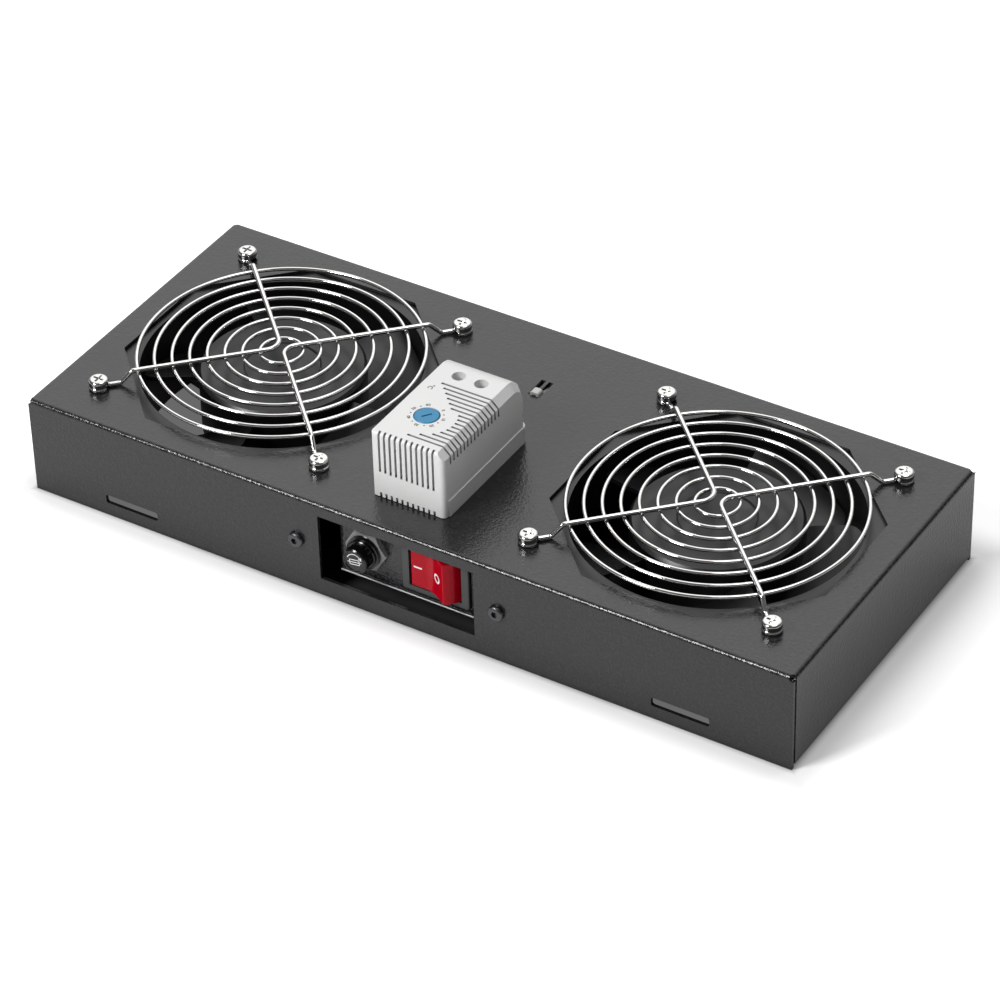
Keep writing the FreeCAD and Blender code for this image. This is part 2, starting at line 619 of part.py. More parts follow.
def nut(seat, out):
    """Hexagon nut with chamfered corners; out points away from the face that it clamps."""
    blank = hexagon(M4_NUT_FLATS, seat, M4_NUT, out)
    reach = M4_NUT_FLATS / 2 / math.cos(math.radians(30))
    trim = turned([(0, 0), (M4_NUT_FLATS / 2, 0), (reach, NUT_BEVEL), (reach, M4_NUT - NUT_BEVEL),
                   (M4_NUT_FLATS / 2, M4_NUT), (0, M4_NUT)], seat, out)
    hole = Part.makeCylinder(M4_RADIUS + SHAFT_PLAY, M4_NUT + 2 * PAST, seat - out * PAST, out)
    return blank.common(trim).cut(hole)


# ---- fans --------------------------------------------------------------------------------------
def fan_flange(fan_x, bottom):
    """Square flange of a fan frame, with its bore."""
    centre = V(fan_x, 0, bottom)
    plate = rounded_plate(FAN_SIZE, FAN_SIZE, FAN_CORNER_RADIUS, FAN_FLANGE, centre, X, Y)
    return plate.cut(Part.makeCylinder(FAN_BORE_RADIUS, FAN_FLANGE + 2 * PAST, centre - Z * PAST))


def lead_boss(fan_x, side):
    """Round boss on the fan's wall where its lead comes out."""
    turn = math.radians(LEAD_BOSS_TURN)
    out = V(-side * math.cos(turn), math.sin(turn), 0)
    height = FAN_BOTTOM + FAN_DEPTH / 2
    start = V(fan_x, 0, height) + out * (FAN_BORE_RADIUS + PAST)
    end = V(fan_x, 0, height) + out * (FAN_WALL_RADIUS + LEAD_BOSS_LENGTH)
    return rod(LEAD_BOSS, start, end), end, out


def fan_frame(fan_x, side):
    """Cast fan frame: round duct between two square flanges, with struts to the motor's cup."""
    floor = V(fan_x, 0, FAN_BOTTOM)
    half = FAN_SIZE / 2
    duct = Part.makeCylinder(FAN_WALL_RADIUS, FAN_DEPTH, floor)
    duct = duct.cut(Part.makeCylinder(FAN_BORE_RADIUS, FAN_DEPTH + 2 * PAST, floor - Z * PAST))
    duct = duct.common(box(fan_x - half, fan_x + half, -half, half, FAN_BOTTOM, UNDER))
    boss = lead_boss(fan_x, side)[0]
    boss = boss.cut(Part.makeCylinder(FAN_BORE_RADIUS, FAN_DEPTH, floor))
    pieces = [duct, fan_flange(fan_x, FAN_BOTTOM), fan_flange(fan_x, UNDER - FAN_FLANGE), boss]
    frame = fuse_all(pieces)
    holes = []
    for x, y in FAN_CORNERS:
        hole = V(fan_x + x, y, FAN_BOTTOM - PAST)
        holes.append(Part.makeCylinder(FAN_HOLE_RADIUS, FAN_DEPTH + 2 * PAST, hole))
    frame = frame.cut(holes)
    tube_radius = BEARING_RADIUS + TUBE_WALL
    tube_top = CUP_TOP + STATOR_HEIGHT + COIL_OVERHANG
    cup = turned([(BEARING_RADIUS + SHAFT_PLAY / 2, 0), (CUP_RADIUS, 0), (CUP_RADIUS, CUP_FLOOR),
                  (tube_radius, CUP_FLOOR), (tube_radius, tube_top - FAN_BOTTOM),
                  (BEARING_RADIUS + SHAFT_PLAY / 2, tube_top - FAN_BOTTOM)], floor, Z)
    struts = []
    for index in range(STRUTS):
        strut = box(CUP_RADIUS - STRUT_SINK, FAN_BORE_RADIUS + PAST, -STRUT_WIDTH / 2, STRUT_WIDTH / 2,
                    0, STRUT_DEPTH)
        strut.rotate(V(0, 0, 0), Z, 90 + side * (90 - LEAD_BOSS_TURN) + 360 / STRUTS * index)
        strut.translate(floor)
        struts.append(strut)
    return fuse_all([frame, cup] + struts)


def fan_bearings(fan_x):
    """Two bearings in the tube, one at each end."""
    rings = []
    top = CUP_TOP + STATOR_HEIGHT + COIL_OVERHANG - BEARING_WIDTH
    for height in (FAN_BOTTOM, top):
        rings.append(turned([(FAN_SHAFT_RADIUS + SHAFT_PLAY, 0), (BEARING_RADIUS, 0),
                             (BEARING_RADIUS, BEARING_WIDTH), (FAN_SHAFT_RADIUS + SHAFT_PLAY, BEARING_WIDTH)],
                            V(fan_x, 0, height), Z))
    return rings


def fan_stator(fan_x):
    """Laminated core with four poles, and one coil round each pole."""
    floor = V(fan_x, 0, CUP_TOP + COIL_OVERHANG)
    inner = BEARING_RADIUS + TUBE_WALL + SHAFT_PLAY
    height = STATOR_HEIGHT - COIL_OVERHANG
    rim_inner = STATOR_RADIUS - STATOR_RIM
    core = turned([(inner, 0), (STATOR_CORE_RADIUS, 0), (STATOR_CORE_RADIUS, height), (inner, height)], floor, Z)
    rim = turned([(rim_inner, 0), (STATOR_RADIUS, 0), (STATOR_RADIUS, height), (rim_inner, height)], floor, Z)
    poles = []
    coils = []
    for index in range(STATOR_POLES):
        turn = 360 / STATOR_POLES * index
        pole = box(STATOR_CORE_RADIUS - PAST, rim_inner + PAST, -POLE_WIDTH / 2, POLE_WIDTH / 2, 0, height)
        gap = box(rim_inner - PAST, STATOR_RADIUS + PAST, -POLE_GAP / 2, POLE_GAP / 2, -PAST, height + PAST)
        reach = math.sqrt(rim_inner ** 2 - COIL_WIDTH ** 2 / 4) - SLIP
        coil = box(reach - COIL_LENGTH, reach, -COIL_WIDTH / 2, COIL_WIDTH / 2,
                   SLIP - COIL_OVERHANG, height + COIL_OVERHANG - SLIP)
        hollow = box(0, STATOR_RADIUS, -POLE_WIDTH / 2 - SLIP / 2, POLE_WIDTH / 2 + SLIP / 2,
                     -SLIP / 2, height + SLIP / 2)
        coil = coil.cut(hollow)
        gap.rotate(V(0, 0, 0), Z, turn + 180 / STATOR_POLES)
        for piece in (pole, coil):
            piece.rotate(V(0, 0, 0), Z, turn)
        for piece in (pole, coil, gap):
            piece.translate(floor)
        poles.append(pole)
        coils.append(coil)
        rim = rim.cut(gap)
    return [fuse_all([core, rim] + poles)] + coils


def blade(turn):
    """One swept blade about the Z axis, its top edge on the plane z = 0."""
    root, tip = HUB_RADIUS - BLADE_ROOT_SINK, FAN_BORE_RADIUS - BLADE_TIP_GAP
    sections = []
    for radius, rise in ((root - BLANK_PAST_ROOT, BLADE_RISE_ROOT), (tip + BLANK_PAST_TIP, BLADE_RISE_TIP)):
        reach = radius * math.tan(math.radians(BLADE_SPAN / 2)) + BLANK_PAST_SIDE
        low = V(radius, -reach, -rise)
        middle = V(radius, 0, -rise / 2 - BLADE_BELLY)
        high = V(radius, reach, 0)
        drop = V(0, 0, -BLADE_THICKNESS)
        edges = [Part.Arc(low, middle, high).toShape(), Part.LineSegment(high, high + drop).toShape(),
                 Part.Arc(high + drop, middle + drop, low + drop).toShape(),
                 Part.LineSegment(low + drop, low).toShape()]
        sections.append(Part.Wire(edges))
    sheet = Part.makeLoft(sections, True, True)
    half = math.radians(BLADE_SPAN / 2)
    outer = [V(tip * math.cos(a), tip * math.sin(a), 0) for a in (-half, 0, half)]
    inner = [V(root * math.cos(a), root * math.sin(a), 0) for a in (half, 0, -half)]
    outline = Part.Wire([Part.Arc(*outer).toShape(), Part.LineSegment(outer[2], inner[0]).toShape(),
                         Part.Arc(*inner).toShape(), Part.LineSegment(inner[2], outer[0]).toShape()])
    plan = Part.Face(outline).extrude(Z * (BLADE_RISE_ROOT * 3))
    plan.translate(V(0, 0, -BLADE_RISE_ROOT * 2))
    plan = round_edges(plan, BLADE_CORNER,
                       lambda b: b.ZMax - b.ZMin > BLADE_RISE_ROOT and b.XMax > (root + tip) / 2 - PAST)
    piece = sheet.common(plan)
    piece.rotate(V(0, 0, 0), Z, turn)
    return piece


def fan_rotor(fan_x, first_turn):
    """External rotor: a hub like a cup turned over, with its blades round it."""
    top = V(fan_x, 0, HUB_TOP)
    wall = HUB_RADIUS - HUB_WALL
    boss = FAN_SHAFT_RADIUS + TUBE_WALL
    boss_foot = HUB_TOP - (CUP_TOP + STATOR_HEIGHT + COIL_OVERHANG + RUNNING)
    hub = turned([(FAN_SHAFT_RADIUS, -HUB_WALL), (FAN_SHAFT_RADIUS, -boss_foot), (boss, -boss_foot),
                  (boss, -HUB_WALL), (wall, -HUB_WALL), (wall, -HUB_SKIRT), (HUB_RADIUS, -HUB_SKIRT),
                  (HUB_RADIUS, -HUB_EDGE), (HUB_RADIUS - HUB_EDGE, 0), (HUB_DISC_RADIUS + HUB_DISC_SLOPE, 0),
                  (HUB_DISC_RADIUS, -HUB_DISC_STEP), (HUB_DIMPLE_RADIUS, -HUB_DISC_STEP),
                  (HUB_DIMPLE_FLOOR, -HUB_DISC_STEP - HUB_DIMPLE_DEPTH),
                  (0, -HUB_DISC_STEP - HUB_DIMPLE_DEPTH), (0, -HUB_WALL)], top, Z)
    blades = []
    for index in range(BLADES):
        piece = blade(first_turn + 360 / BLADES * index)
        piece.translate(V(fan_x, 0, UNDER - BLADE_TOP_DROP))
        blades.append(piece)
    return fuse_all([hub] + blades)


def fan_shaft(fan_x):
    """Shaft from the hub down to the lower bearing."""
    return rod(FAN_SHAFT_RADIUS, V(fan_x, 0, FAN_BOTTOM + PAST / 2), V(fan_x, 0, HUB_TOP - HUB_WALL))


# ---- finger guards -----------------------------------------------------------------------------
def guard_heights():
    """Middle height of the rings, of the spokes and of the eyes, above the top plate."""
    rings = GUARD_LIFT + RING_WIRE
    return rings, rings + RING_WIRE + SPOKE_WIRE - WELD, SPOKE_WIRE


def eye_arcs(centre, inward, sideways):
    """Bend out of a spoke and loop round the screw, as two arcs; the spoke comes from inward."""
    reach = math.sqrt(EYE_RADIUS ** 2 + 2 * EYE_RADIUS * EYE_NECK)
    neck = centre + inward * reach + sideways * EYE_NECK
    lean = math.degrees(math.asin(EYE_NECK / (EYE_RADIUS + EYE_NECK)))

    def on(middle, radius, degrees):
        turn = math.radians(degrees)
        return middle - inward * (radius * math.cos(turn)) + sideways * (radius * math.sin(turn))
    loop_start = 180 - lean
    bend = Part.Arc(on(neck, EYE_NECK, -90), on(neck, EYE_NECK, -45 - lean / 2), on(neck, EYE_NECK, -lean))
    loop = Part.Arc(on(centre, EYE_RADIUS, loop_start), on(centre, EYE_RADIUS, loop_start - EYE_LOOP / 2),
                    on(centre, EYE_RADIUS, loop_start - EYE_LOOP))
    return [bend.toShape(), loop.toShape()], on(neck, EYE_NECK, -90)


def spoke(side):
    """Wire from an eye at the back to an eye at the front, turning near the guard's middle."""
    spoke_z, eye_z = guard_heights()[1:]
    arms = []
    for sy in (1, -1):
        out = V(side, sy, 0).normalize()
        centre = out * (FAN_HOLE_PITCH / math.sqrt(2)) + Z * eye_z
        arcs, land_end = eye_arcs(centre, out * -1, Z.cross(out) * sy)
        foot = land_end - out * SPOKE_LAND
        step = foot - out * SPOKE_STEP_RUN + Z * (spoke_z - eye_z)
        turn_start = out * SPOKE_TURN + Z * spoke_z
        runs = bent_path([turn_start, step, foot, land_end], SPOKE_BEND)[0]
        arms.append((turn_start, runs + arcs))
    apex = V(side * SPOKE_TURN * (math.sqrt(2) - 1), 0, spoke_z)
    middle = Part.Arc(arms[0][0], apex, arms[1][0]).toShape()
    path = Part.Wire(Part.__sortEdges__([*arms[0][1], middle, *arms[1][1]]))
    return swept(path.OrderedEdges, SPOKE_WIRE)[0]


def finger_guard(fan_x):
    """Welded wire guard: rings under two bent spokes."""
    ring_z = guard_heights()[0]
    pieces = []
    for index in range(GUARD_RINGS):
        pieces.append(Part.makeTorus(GUARD_FIRST_RADIUS + index * GUARD_RING_STEP, RING_WIRE, Z * ring_z))
    for side in (-1, 1):
        pieces.append(spoke(side))
    guard = pieces[0].fuse(pieces[1:])
    guard.translate(V(fan_x, 0, TRAY_HEIGHT))
    return guard


def guard_screws(fan_x):
    """Four screws through the guard's eyes, the top plate and the fan's upper flange."""
    seat_z = TRAY_HEIGHT + 2 * SPOKE_WIRE
    length = seat_z - (UNDER - FAN_FLANGE - M4_NUT - THREAD_SHOW)
    return [pan_screw(V(fan_x + x, y, seat_z), Z, M4_HEAD_RADIUS, M4_HEAD, M4_RADIUS, length)
            for x, y in FAN_CORNERS]


def guard_nuts(fan_x):
    """The four nuts of those screws, under the fan's upper flange."""
    return [nut(V(fan_x + x, y, UNDER - FAN_FLANGE), Z * -1) for x, y in FAN_CORNERS]


# ---- rocker switch -----------------------------------------------------------------------------
def rocker_axis():
    """A point on the rocker's pins, at mid height."""
    return V(SWITCH_X, PANEL_Y + ROCKER_SINK, SWITCH_Z)


def switch_housing():
    """Bezel in front of the panel and box behind it, hollow for the rocker."""
    bezel = rounded_plate(BEZEL_WIDTH, BEZEL_HEIGHT, BEZEL_CORNER, BEZEL_THICKNESS, V(SWITCH_X, PANEL_Y, SWITCH_Z), X, Z)
    face = PANEL_Y - BEZEL_THICKNESS
    bezel = round_edges(bezel, BEZEL_EDGE, lambda b: b.YMax < face + SLIP / 2)
    half_x, half_z = SWITCH_BODY_WIDTH / 2, SWITCH_BODY_HEIGHT / 2
    body = box(SWITCH_X - half_x, SWITCH_X + half_x, PANEL_Y, PANEL_Y + SWITCH_BODY_DEPTH,
               SWITCH_Z - half_z, SWITCH_Z + half_z)
    housing = fuse_all([bezel, body])
    axis = rocker_axis()
    room_z = ROCKER_HEIGHT / 2 + RUNNING
    sweep = Part.makeCylinder(ROCKER_RADIUS + RUNNING, 2 * room_z, axis - Z * room_z, Z)
    keep = box(SWITCH_X - half_x, SWITCH_X + half_x, PANEL_Y, PANEL_Y + ROCKER_SINK + ROCKER_RADIUS,
               SWITCH_Z - half_z, SWITCH_Z + half_z)
    reach = math.sqrt((ROCKER_RADIUS + RUNNING) ** 2 - ROCKER_SINK ** 2)
    mouth = box(SWITCH_X - reach, SWITCH_X + reach, face - PAST, PANEL_Y + ROCKER_SINK,
                SWITCH_Z - room_z, SWITCH_Z + room_z)
    pin_reach = ROCKER_HEIGHT / 2 + ROCKER_PIN_LENGTH + RUNNING
    pins = Part.makeCylinder(ROCKER_PIN_RADIUS + SHAFT_PLAY, 2 * pin_reach, axis - Z * pin_reach, Z)
    return housing.cut([sweep.common(keep), mouth, pins])


def switch_rocker():
    """Rocker with a hollow face between two ridges, standing with its left end pressed in."""
    axis = rocker_axis()
    ridge = math.sqrt(ROCKER_RADIUS ** 2 - ROCKER_HALF ** 2)
    foot = math.sqrt(ROCKER_RADIUS ** 2 - ROCKER_FOOT ** 2)
    base = axis - Z * (ROCKER_HEIGHT / 2)

    def at(x, out):
        return base + V(x, -out, 0)
    rise = (ridge - ROCKER_VALLEY) / ROCKER_HALF * ROCKER_BLEND
    left, bottom, right = (at(-ROCKER_BLEND, ROCKER_VALLEY + rise), at(0, ROCKER_VALLEY + rise / 2),
                           at(ROCKER_BLEND, ROCKER_VALLEY + rise))
    edges = [Part.LineSegment(at(-ROCKER_HALF, ridge), left).toShape(),
             Part.Arc(left, bottom, right).toShape(),
             Part.LineSegment(right, at(ROCKER_HALF, ridge)).toShape(),
             Part.Arc(at(ROCKER_HALF, ridge), at(ROCKER_RADIUS, 0), at(foot, -ROCKER_FOOT)).toShape(),
             Part.LineSegment(at(foot, -ROCKER_FOOT), at(-foot, -ROCKER_FOOT)).toShape(),
             Part.Arc(at(-foot, -ROCKER_FOOT), at(-ROCKER_RADIUS, 0), at(-ROCKER_HALF, ridge)).toShape()]
    rocker = Part.Face(Part.Wire(edges)).extrude(Z * ROCKER_HEIGHT)
    face_y = axis.y - ROCKER_VALLEY + ROCKER_EDGE
    rocker = round_edges(rocker, ROCKER_EDGE, lambda b: b.YMax < face_y)
    pin_reach = ROCKER_HEIGHT / 2 + ROCKER_PIN_LENGTH
    pins = Part.makeCylinder(ROCKER_PIN_RADIUS, 2 * pin_reach, axis - Z * pin_reach, Z)
    rocker = fuse_all([rocker, pins])
    rocker.rotate(axis, Z, -ROCKER_TILT)
    return rocker


def switch_terminals():
    """Four blade terminals behind the switch."""
    back = PANEL_Y + SWITCH_BODY_DEPTH
    tabs = []
    for sx in (-1, 1):
        for sz in (-1, 1):
            centre = V(SWITCH_X + sx * TAB_PITCH_X / 2, back + TAB_LENGTH, SWITCH_Z + sz * TAB_PITCH_Z / 2)
            tabs.append(rounded_plate(TAB_THICKNESS, TAB_WIDTH, TAB_CORNER, TAB_LENGTH, centre, X, Z))
    return tabs


# ---- fuse holder -------------------------------------------------------------------------------
def fuse_point(along):
    """A point on the fuse axis, measured back from the panel's face."""
    return V(FUSE_X, PANEL_Y + along, FUSE_Z)


def fuse_holder_body():
    """Barrel with a threaded neck through the panel and a shoulder behind it."""
    shoulder = BRACKET_SHEET + FUSE_SHOULDER
    end = BRACKET_SHEET + FUSE_BARREL
    root_radius = FUSE_THREAD_RADIUS - FUSE_THREAD_DEPTH
    front = -FUSE_NECK
    profile = [(FUSE_BORE_RADIUS, front), (root_radius, front)]
    turn = (FUSE_NECK - FUSE_NUT) / FUSE_THREAD_TURNS
    for index in range(FUSE_THREAD_TURNS):
        profile.append((FUSE_THREAD_RADIUS, front + turn * (index + 1 / 3)))
        profile.append((FUSE_THREAD_RADIUS, front + turn * (index + 2 / 3)))
        profile.append((root_radius, front + turn * (index + 1)))
    profile += [(FUSE_THREAD_RADIUS, -FUSE_NUT + FUSE_THREAD_DEPTH), (FUSE_THREAD_RADIUS, BRACKET_SHEET),
                (FUSE_SHOULDER_RADIUS, BRACKET_SHEET), (FUSE_SHOULDER_RADIUS, shoulder),
                (FUSE_BARREL_RADIUS, shoulder), (FUSE_BARREL_RADIUS, end), (0, end),
                (0, end - FUSE_END_WALL), (FUSE_BORE_RADIUS, end - FUSE_END_WALL)]
    return turned(profile, fuse_point(0), Y)


def fuse_holder_nut():
    """Hexagon nut on the neck, in front of the panel."""
    blank = hexagon(FUSE_NUT_FLATS, fuse_point(-FUSE_NUT), FUSE_NUT, Y)
    reach = FUSE_NUT_FLATS / 2 / math.cos(math.radians(30))
    trim = turned([(0, -FUSE_NUT), (FUSE_NUT_FLATS / 2, -FUSE_NUT), (reach, FUSE_NUT_BEVEL - FUSE_NUT),
                   (reach, 0), (0, 0)],
                  fuse_point(0), Y)
    hole = rod(FUSE_THREAD_RADIUS + SHAFT_PLAY, fuse_point(-FUSE_NUT - PAST), fuse_point(PAST))
    return blank.common(trim).cut(hole)


def fuse_holder_terminals():
    """End tab and side tab for the two wires."""
    end = BRACKET_SHEET + FUSE_BARREL
    rear = rounded_plate(TAB_THICKNESS, FUSE_TAB_WIDTH, TAB_CORNER, TAB_LENGTH,
                         fuse_point(end + TAB_LENGTH), X, Z)
    middle = BRACKET_SHEET + FUSE_SHOULDER + FUSE_TAB_WIDTH
    side = box(FUSE_X - FUSE_TAB_WIDTH / 2, FUSE_X + FUSE_TAB_WIDTH / 2, PANEL_Y + middle,
               PANEL_Y + middle + TAB_THICKNESS, FUSE_Z - FUSE_BARREL_RADIUS - TAB_LENGTH / 2,
               FUSE_Z - FUSE_BARREL_RADIUS + SLIP)
    barrel = rod(FUSE_BARREL_RADIUS, fuse_point(0), fuse_point(end))
    return [rear, side.cut(barrel)]


def fuse_cap():
    """Fluted cap with a plug that holds the end of the fuse."""
    seat = -FUSE_NECK - SLIP / 2
    face = seat - CAP_COLLAR - CAP_GRIP
    plug_end = seat + CAP_PLUG
    socket = FUSE_RADIUS + FUSE_FERRULE_WALL + SHAFT_PLAY
    rim = CAP_GRIP_RADIUS - CAP_RIM_WIDTH
    collar = seat - CAP_COLLAR
    cap = turned([(0, face + CAP_RIM), (rim - CAP_RIM_SLOPE, face + CAP_RIM), (rim, face),
                  (CAP_GRIP_RADIUS - CAP_EDGE, face), (CAP_GRIP_RADIUS, face + CAP_EDGE), (CAP_GRIP_RADIUS, collar),
                  (CAP_COLLAR_RADIUS - CAP_COLLAR_EDGE, collar), (CAP_COLLAR_RADIUS, collar + CAP_COLLAR_EDGE),
                  (CAP_COLLAR_RADIUS, seat), (FUSE_BORE_RADIUS - RUNNING, seat),
                  (FUSE_BORE_RADIUS - RUNNING, plug_end), (socket, plug_end), (socket, plug_end - FUSE_FERRULE),
                  (0, plug_end - FUSE_FERRULE)], fuse_point(0), Y)
    flutes = []
    for index in range(CAP_FLUTES):
        turn = 2 * math.pi * index / CAP_FLUTES
        offset = V(math.cos(turn), 0, math.sin(turn)) * (CAP_GRIP_RADIUS + CAP_FLUTE_RADIUS / 2)
        flutes.append(rod(CAP_FLUTE_RADIUS, fuse_point(face + CAP_FLUTE_START) + offset,
                          fuse_point(seat - CAP_COLLAR) + offset))
    return cap.cut(flutes)


def fuse_place():
    """Where the fuse starts and ends on its axis."""
    start = -FUSE_NECK - SLIP / 2 + CAP_PLUG - FUSE_FERRULE + SHAFT_PLAY
    return start, start + FUSE_LENGTH


def fuse_glass():
    """Glass tube of the fuse."""
    start, end = fuse_place()
    return rod(FUSE_RADIUS, fuse_point(start + FUSE_FERRULE_WALL), fuse_point(end - FUSE_FERRULE_WALL))


def fuse_ferrules():
    """The two metal end caps of the fuse."""
    rings = []
    start, end = fuse_place()
    outer = FUSE_RADIUS + FUSE_FERRULE_WALL
    for face, way in ((start, 1), (end, -1)):
        rings.append(turned([(0, 0), (outer, 0), (outer, FUSE_FERRULE), (FUSE_RADIUS, FUSE_FERRULE),
                             (FUSE_RADIUS, FUSE_FERRULE_WALL), (0, FUSE_FERRULE_WALL)], fuse_point(face), Y * way))
    return rings


# ---- thermostat --------------------------------------------------------------------------------
def cover_form(inset, foot):
    """The cover's outer form, pulled in by an inset: a round back, and a slant that follows it."""
    left, right = STAT_LEFT + inset, STAT_RIGHT - inset
    front, back = STAT_FRONT_Y + inset, STAT_BACK_Y - inset
    top = STAT_TOP - inset
    form = box(left, right, front, back, foot, top)
    form = round_edges(form, STAT_BACK_ROUND - inset, lambda b: b.YMin > back - SLIP and b.ZMin > top - SLIP)
    rim = [edge for edge in form.Edges if edge.BoundBox.XMin > right - SLIP
           and (edge.BoundBox.ZMin > foot + SLIP or edge.BoundBox.YMin > back - SLIP)]
    form = form.makeChamfer(STAT_SLANT - inset * STAT_SLANT_SHRINK, rim)
    if inset < STAT_FRONT_ROUND:
        plan = box(left, right, front, back, foot, top + PAST)
        plan = round_edges(plan, STAT_EDGE_LEFT,
                           lambda b: b.ZMax - b.ZMin > PAST and b.XMax < left + SLIP)
        plan = round_edges(plan, STAT_EDGE_RIGHT,
                           lambda b: b.ZMax - b.ZMin > PAST and b.XMin > right - SLIP)
        nose = box(left - PAST, right + PAST, front, back + PAST, foot, top)
        nose = round_edges(nose, STAT_FRONT_ROUND, lambda b: b.YMax < front + SLIP and b.ZMin > top - SLIP)
        form = form.common(plan).common(nose)
    return form


def groove_start(y):
    """Left end of a groove: the plain area round the dial, or its straight edge."""
    slope = math.radians(PLAIN_SLOPE)
    ahead = y - DIAL_Y
    if abs(ahead) < PLAIN_RADIUS:
        bulge = math.sqrt(PLAIN_RADIUS ** 2 - ahead ** 2)
    else:
        bulge = 0
    edge = PLAIN_OFFSET / math.sin(slope) - ahead / math.tan(slope)
    return DIAL_X + (bulge if ahead < PLAIN_OFFSET * math.sin(slope) else edge)


def groove_cuts():
    """Grooves across the top, over the slanted edge and down the right side."""
    inner = cover_form(GROOVE_DEPTH, TRAY_HEIGHT)
    cuts = []
    for index in range(GROOVES):
        y = STAT_FRONT_Y + GROOVE_FIRST + index * GROOVE_PITCH
        bar = box(groove_start(y), STAT_RIGHT + PAST, y - GROOVE_WIDTH / 2, y + GROOVE_WIDTH / 2,
                  STAT_TOP - GROOVE_SIDE, STAT_TOP + PAST)
        cuts.append(bar.cut(inner))
    return cuts


def vent_cuts():
    """Long vents and short notches in the front of the cover."""
    middle = STAT_X + VENT_OFFSET
    cuts = []
    for index in range(VENTS):
        x = middle + (index - (VENTS - 1) / 2) * VENT_PITCH
        cuts.append(box(x - VENT_WIDTH / 2, x + VENT_WIDTH / 2, STAT_FRONT_Y - PAST, STAT_FRONT_Y + VENT_OVER,
                        TRAY_HEIGHT + VENT_FOOT, STAT_TOP + PAST))
        cuts.append(box(x - VENT_WIDTH / 2, x + VENT_WIDTH / 2, STAT_FRONT_Y - PAST, STAT_FRONT_Y + VENT_OVER,
                        TRAY_HEIGHT - PAST, TRAY_HEIGHT + NOTCH_HEIGHT))
    return cuts


def terminal_places():
    """Middle of each terminal screw."""
    return [(TERMINAL_X + (index - (TERMINALS - 1) / 2) * TERMINAL_PITCH, TERMINAL_Y)
            for index in range(TERMINALS)]


def thermostat_cover():
    """Moulded cover with vents, grooves, the dial's hole and two chimneys over the terminals."""
    foot = TRAY_HEIGHT + RUNNING
    shell = cover_form(0, foot).cut(cover_form(STAT_WALL, foot - PAST))
    shell = shell.cut(box(STAT_LEFT - PAST, STAT_RIGHT + PAST, STAT_FRONT_Y + STAT_BASE_STEP - SLIP,
                          STAT_BACK_Y + PAST, foot - PAST, BASE_TOP))
    chimneys = []
    bores = []
    for x, y in terminal_places():
        top = STAT_TOP - STAT_WALL / 2
        chimneys.append(rod(TERMINAL_HOLE + TERMINAL_WALL, V(x, y, top), V(x, y, top - TERMINAL_CHIMNEY)))
        bores.append(rod(TERMINAL_HOLE, V(x, y, STAT_TOP + PAST), V(x, y, top - TERMINAL_CHIMNEY - PAST)))
    dial_hole = rod(DIAL_RADIUS + RUNNING, V(DIAL_X, DIAL_Y, STAT_TOP - STAT_WALL - PAST),
                    V(DIAL_X, DIAL_Y, STAT_TOP + PAST))
    shell = fuse_all([shell] + chimneys)
    return shell.cut(groove_cuts() + vent_cuts() + bores + [dial_hole])


def thermostat_base():
    """Moulded base: floor, low walls and two screw bosses."""
    front, back = STAT_FRONT_Y + STAT_BASE_STEP, STAT_BACK_Y
    outer = box(STAT_LEFT, STAT_RIGHT + STAT_BASE_SIDE, front, back, TRAY_HEIGHT, BASE_TOP)
    outer = round_edges(outer, STAT_BASE_EDGE, lambda b: b.ZMax - b.ZMin > PAST and b.YMin > back - SLIP)
    inner = box(STAT_LEFT + STAT_WALL, STAT_RIGHT - STAT_WALL, front + STAT_WALL, back - STAT_WALL,
                BASE_FLOOR, BASE_TOP + PAST)
    base = outer.cut(inner)
    bosses = [rod(STAT_BOSS_RADIUS, V(x, y, BASE_FLOOR - PAST / 2), V(x, y, TRAY_HEIGHT + STAT_BOSS_HEIGHT))
              for x, y in STAT_SCREWS]
    base = fuse_all([base] + bosses)
    cuts = [rod(M3_RADIUS + SHAFT_PLAY, V(x, y, TRAY_HEIGHT - PAST), V(x, y, TRAY_HEIGHT + STAT_BOSS_HEIGHT + PAST))
            for x, y in STAT_SCREWS]
    cuts.append(rod(GROMMET_NECK + SLIP / 2, V(GROMMET_X, GROMMET_Y, TRAY_HEIGHT - PAST),
                    V(GROMMET_X, GROMMET_Y, BASE_FLOOR + PAST)))
    return base.cut(cuts)


def thermostat_core():
    """Switch block on the base, with a ledge that carries the terminal screws."""
    left, right = CORE_X - CORE_WIDTH / 2, CORE_X + CORE_WIDTH / 2
    back = CORE_FRONT_Y + CORE_LENGTH
    block = box(left, right, CORE_FRONT_Y, back, BASE_FLOOR, CORE_TOP)
    ledge = box(left, right, back - PAST, back + CORE_LEDGE, CORE_TOP - CORE_LEDGE_HEIGHT, CORE_TOP)
    core = fuse_all([block, ledge])
    cuts = [rod(DIAL_STEM_RADIUS + SHAFT_PLAY, V(DIAL_X, DIAL_Y, CORE_TOP - CORE_HEIGHT / 2),
                V(DIAL_X, DIAL_Y, CORE_TOP + PAST))]
    for x, y in terminal_places():
        cuts.append(rod(TERMINAL_SHANK_RADIUS + SHAFT_PLAY, V(x, y, CORE_TOP - TERMINAL_SHANK - RUNNING),
                        V(x, y, CORE_TOP + PAST)))
    return core.cut(cuts)


